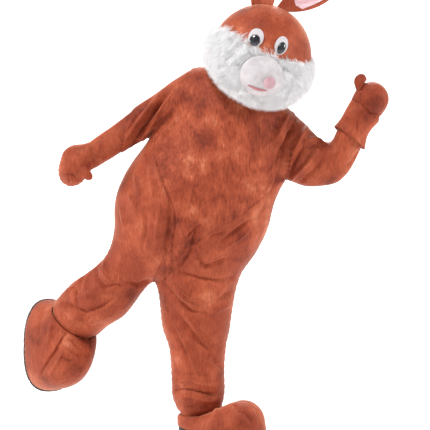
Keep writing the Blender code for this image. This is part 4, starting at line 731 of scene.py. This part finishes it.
def strand_mesh(chance, first, side_one, side_two, area):
    """A mesh of flat tapered strands whose tips are spread evenly over the triangles."""
    pick = chance.choice(len(area), STRANDS, p=area / area.sum())
    one = chance.random(STRANDS)
    two = chance.random(STRANDS)
    flip = one + two > 1
    one[flip] = 1 - one[flip]
    two[flip] = 1 - two[flip]
    tip = first[pick] + one[:, None] * side_one[pick] + two[:, None] * side_two[pick]
    out = unit(tip - HEAD)
    comb = out * COMB_OUT + COMB_DOWN
    comb = comb + out * COMB_SIDEWAYS * COMB_SPREAD
    clump = np.stack([noise(tip, CLUMP_SIZE, CLUMP_SEED + axis) for axis in range(3)], axis=1)
    comb = unit(comb + CLUMP_SHARE * clump + STRAY_SHARE * chance.normal(size=tip.shape))
    length = STRAND_LENGTH * chance.uniform(*LENGTH_SHARES, STRANDS)[:, None]
    tip = tip + out * chance.uniform(*TIP_RANGE, STRANDS)[:, None]
    root = tip - comb * length - out * ROOT_DROP
    bend = (root + tip) / 2 + out * BEND_RISE
    side = unit(np.cross(comb, chance.normal(size=tip.shape))) * STRAND_WIDTH / 2
    verts = np.stack([root - side, root + side, bend + side * BEND_WIDTH, bend - side * BEND_WIDTH, tip],
                     axis=1)
    start = np.arange(STRANDS)[:, None] * 5
    quads = start + np.array([0, 1, 2, 3])
    ends = start + np.array([3, 2, 4])
    strands = bpy.data.meshes.new("ruff_fur")
    strands.from_pydata(verts.reshape(-1, 3).tolist(), [], quads.tolist() + ends.tolist())
    strands.materials.append(MATERIALS["fur"])
    return strands


def build_fur():
    """A shrunk base for the ruff, and strands that root in it and end near the ruff's own surface."""
    base, _ = fine_copy("head_ruff", 2)
    mesh = base.data
    points = read_vectors(mesh, "co")
    facing = read_vectors(mesh, "normal")
    triangles = outer_triangles(mesh, points)
    chance = np.random.default_rng(SEED)
    for letter in "ab":
        piece = add_object("ruff_fur_" + letter, strand_mesh(chance, *triangles))
        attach(piece, "root")
        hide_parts("head_ruff")
    ways = unit(points - HEAD)
    shift = np.clip(np.sum(facing * ways, axis=1) * 3, 0.0, 1.0)
    points -= ways * (FUR_BASE_DROP * shift)[:, None]
    finish_mesh(mesh, points, MATERIALS["fur"])
    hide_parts("head_ruff")
    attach(base, "root")


build_fur()

# Stage: a pale floor just under the soles, and a white backdrop far behind
STAGE_HALF = 9
BACKDROP_TOP = 7
BACKDROP_DROP = 0.3
FLOOR_DROP = 0.001
WHITE = (1.0, 1.0, 1.0, 1.0)


def stage_sheet(name, corners, material_name, **values):
    """A plain four-cornered sheet of the stage, with its own plain material."""
    mesh = bpy.data.meshes.new(name)
    mesh.from_pydata(corners, [], [(0, 1, 2, 3)])
    sheet = add_object(name, mesh)
    material, _, shader = material_of(material_name)
    set_values(shader, **values)
    mesh.materials.append(material)
    return sheet


low = FLOOR - FLOOR_DROP
floor = stage_sheet("floor", [(-STAGE_HALF, -STAGE_HALF, low), (STAGE_HALF, -STAGE_HALF, low),
                              (STAGE_HALF, STAGE_HALF, low), (-STAGE_HALF, STAGE_HALF, low)],
                    "floor_pale", Base_Color=(0.80, 0.80, 0.80, 1.0), Roughness=0.9,
                    Specular_IOR_Level=0.1, Emission_Color=WHITE, Emission_Strength=0.55)
low = FLOOR - BACKDROP_DROP
backdrop = stage_sheet("backdrop", [(-STAGE_HALF, STAGE_HALF, low), (STAGE_HALF, STAGE_HALF, low),
                                    (STAGE_HALF, STAGE_HALF, BACKDROP_TOP),
                                    (-STAGE_HALF, STAGE_HALF, BACKDROP_TOP)],
                       "backdrop_white", Base_Color=(0.9, 0.9, 0.9, 1.0), Emission_Color=WHITE,
                       Emission_Strength=0.9)
bpy.context.scene.view_settings.view_transform = "Standard"

world = bpy.data.worlds.new("studio")
bpy.context.scene.world = world
world.use_nodes = True
world.node_tree.nodes["Background"].inputs["Color"].default_value = WHITE
world.node_tree.nodes["Background"].inputs["Strength"].default_value = 0.33

# Soft lamps that all aim at the trunk: a key, a side light, a fill and one from behind
Lamp = namedtuple("Lamp", "x y z size watts")
LAMPS = (Lamp(-1.3, -2.2, 3.0, 0.7, 122), Lamp(3.2, -0.9, 0.9, 1.0, 60),
         Lamp(-3.4, -0.4, 0.2, 1.0, 45), Lamp(0.4, 2.4, 2.4, 1.6, 80))
AIM = Vector((VIEW_X, 0.0, VIEW_Z + 0.1))
for number, lamp in enumerate(LAMPS):
    light = bpy.data.lights.new("lamp_%d" % number, "AREA")
    light.size = lamp.size
    light.energy = lamp.watts
    holder = add_object("lamp_%d" % number, light)
    holder.location = (lamp.x, lamp.y, lamp.z)
    holder.rotation_euler = (AIM - holder.location).to_track_quat("-Z", "Y").to_euler()

# The camera, at the photo's view
camera = bpy.data.cameras.new("camera")
camera.lens = LENS
camera.sensor_width = 36.0
holder = add_object("camera", camera)
holder.location = (VIEW_X, -DISTANCE, VIEW_Z)
holder.rotation_euler = (math.radians(90), 0.0, 0.0)
bpy.context.scene.camera = holder
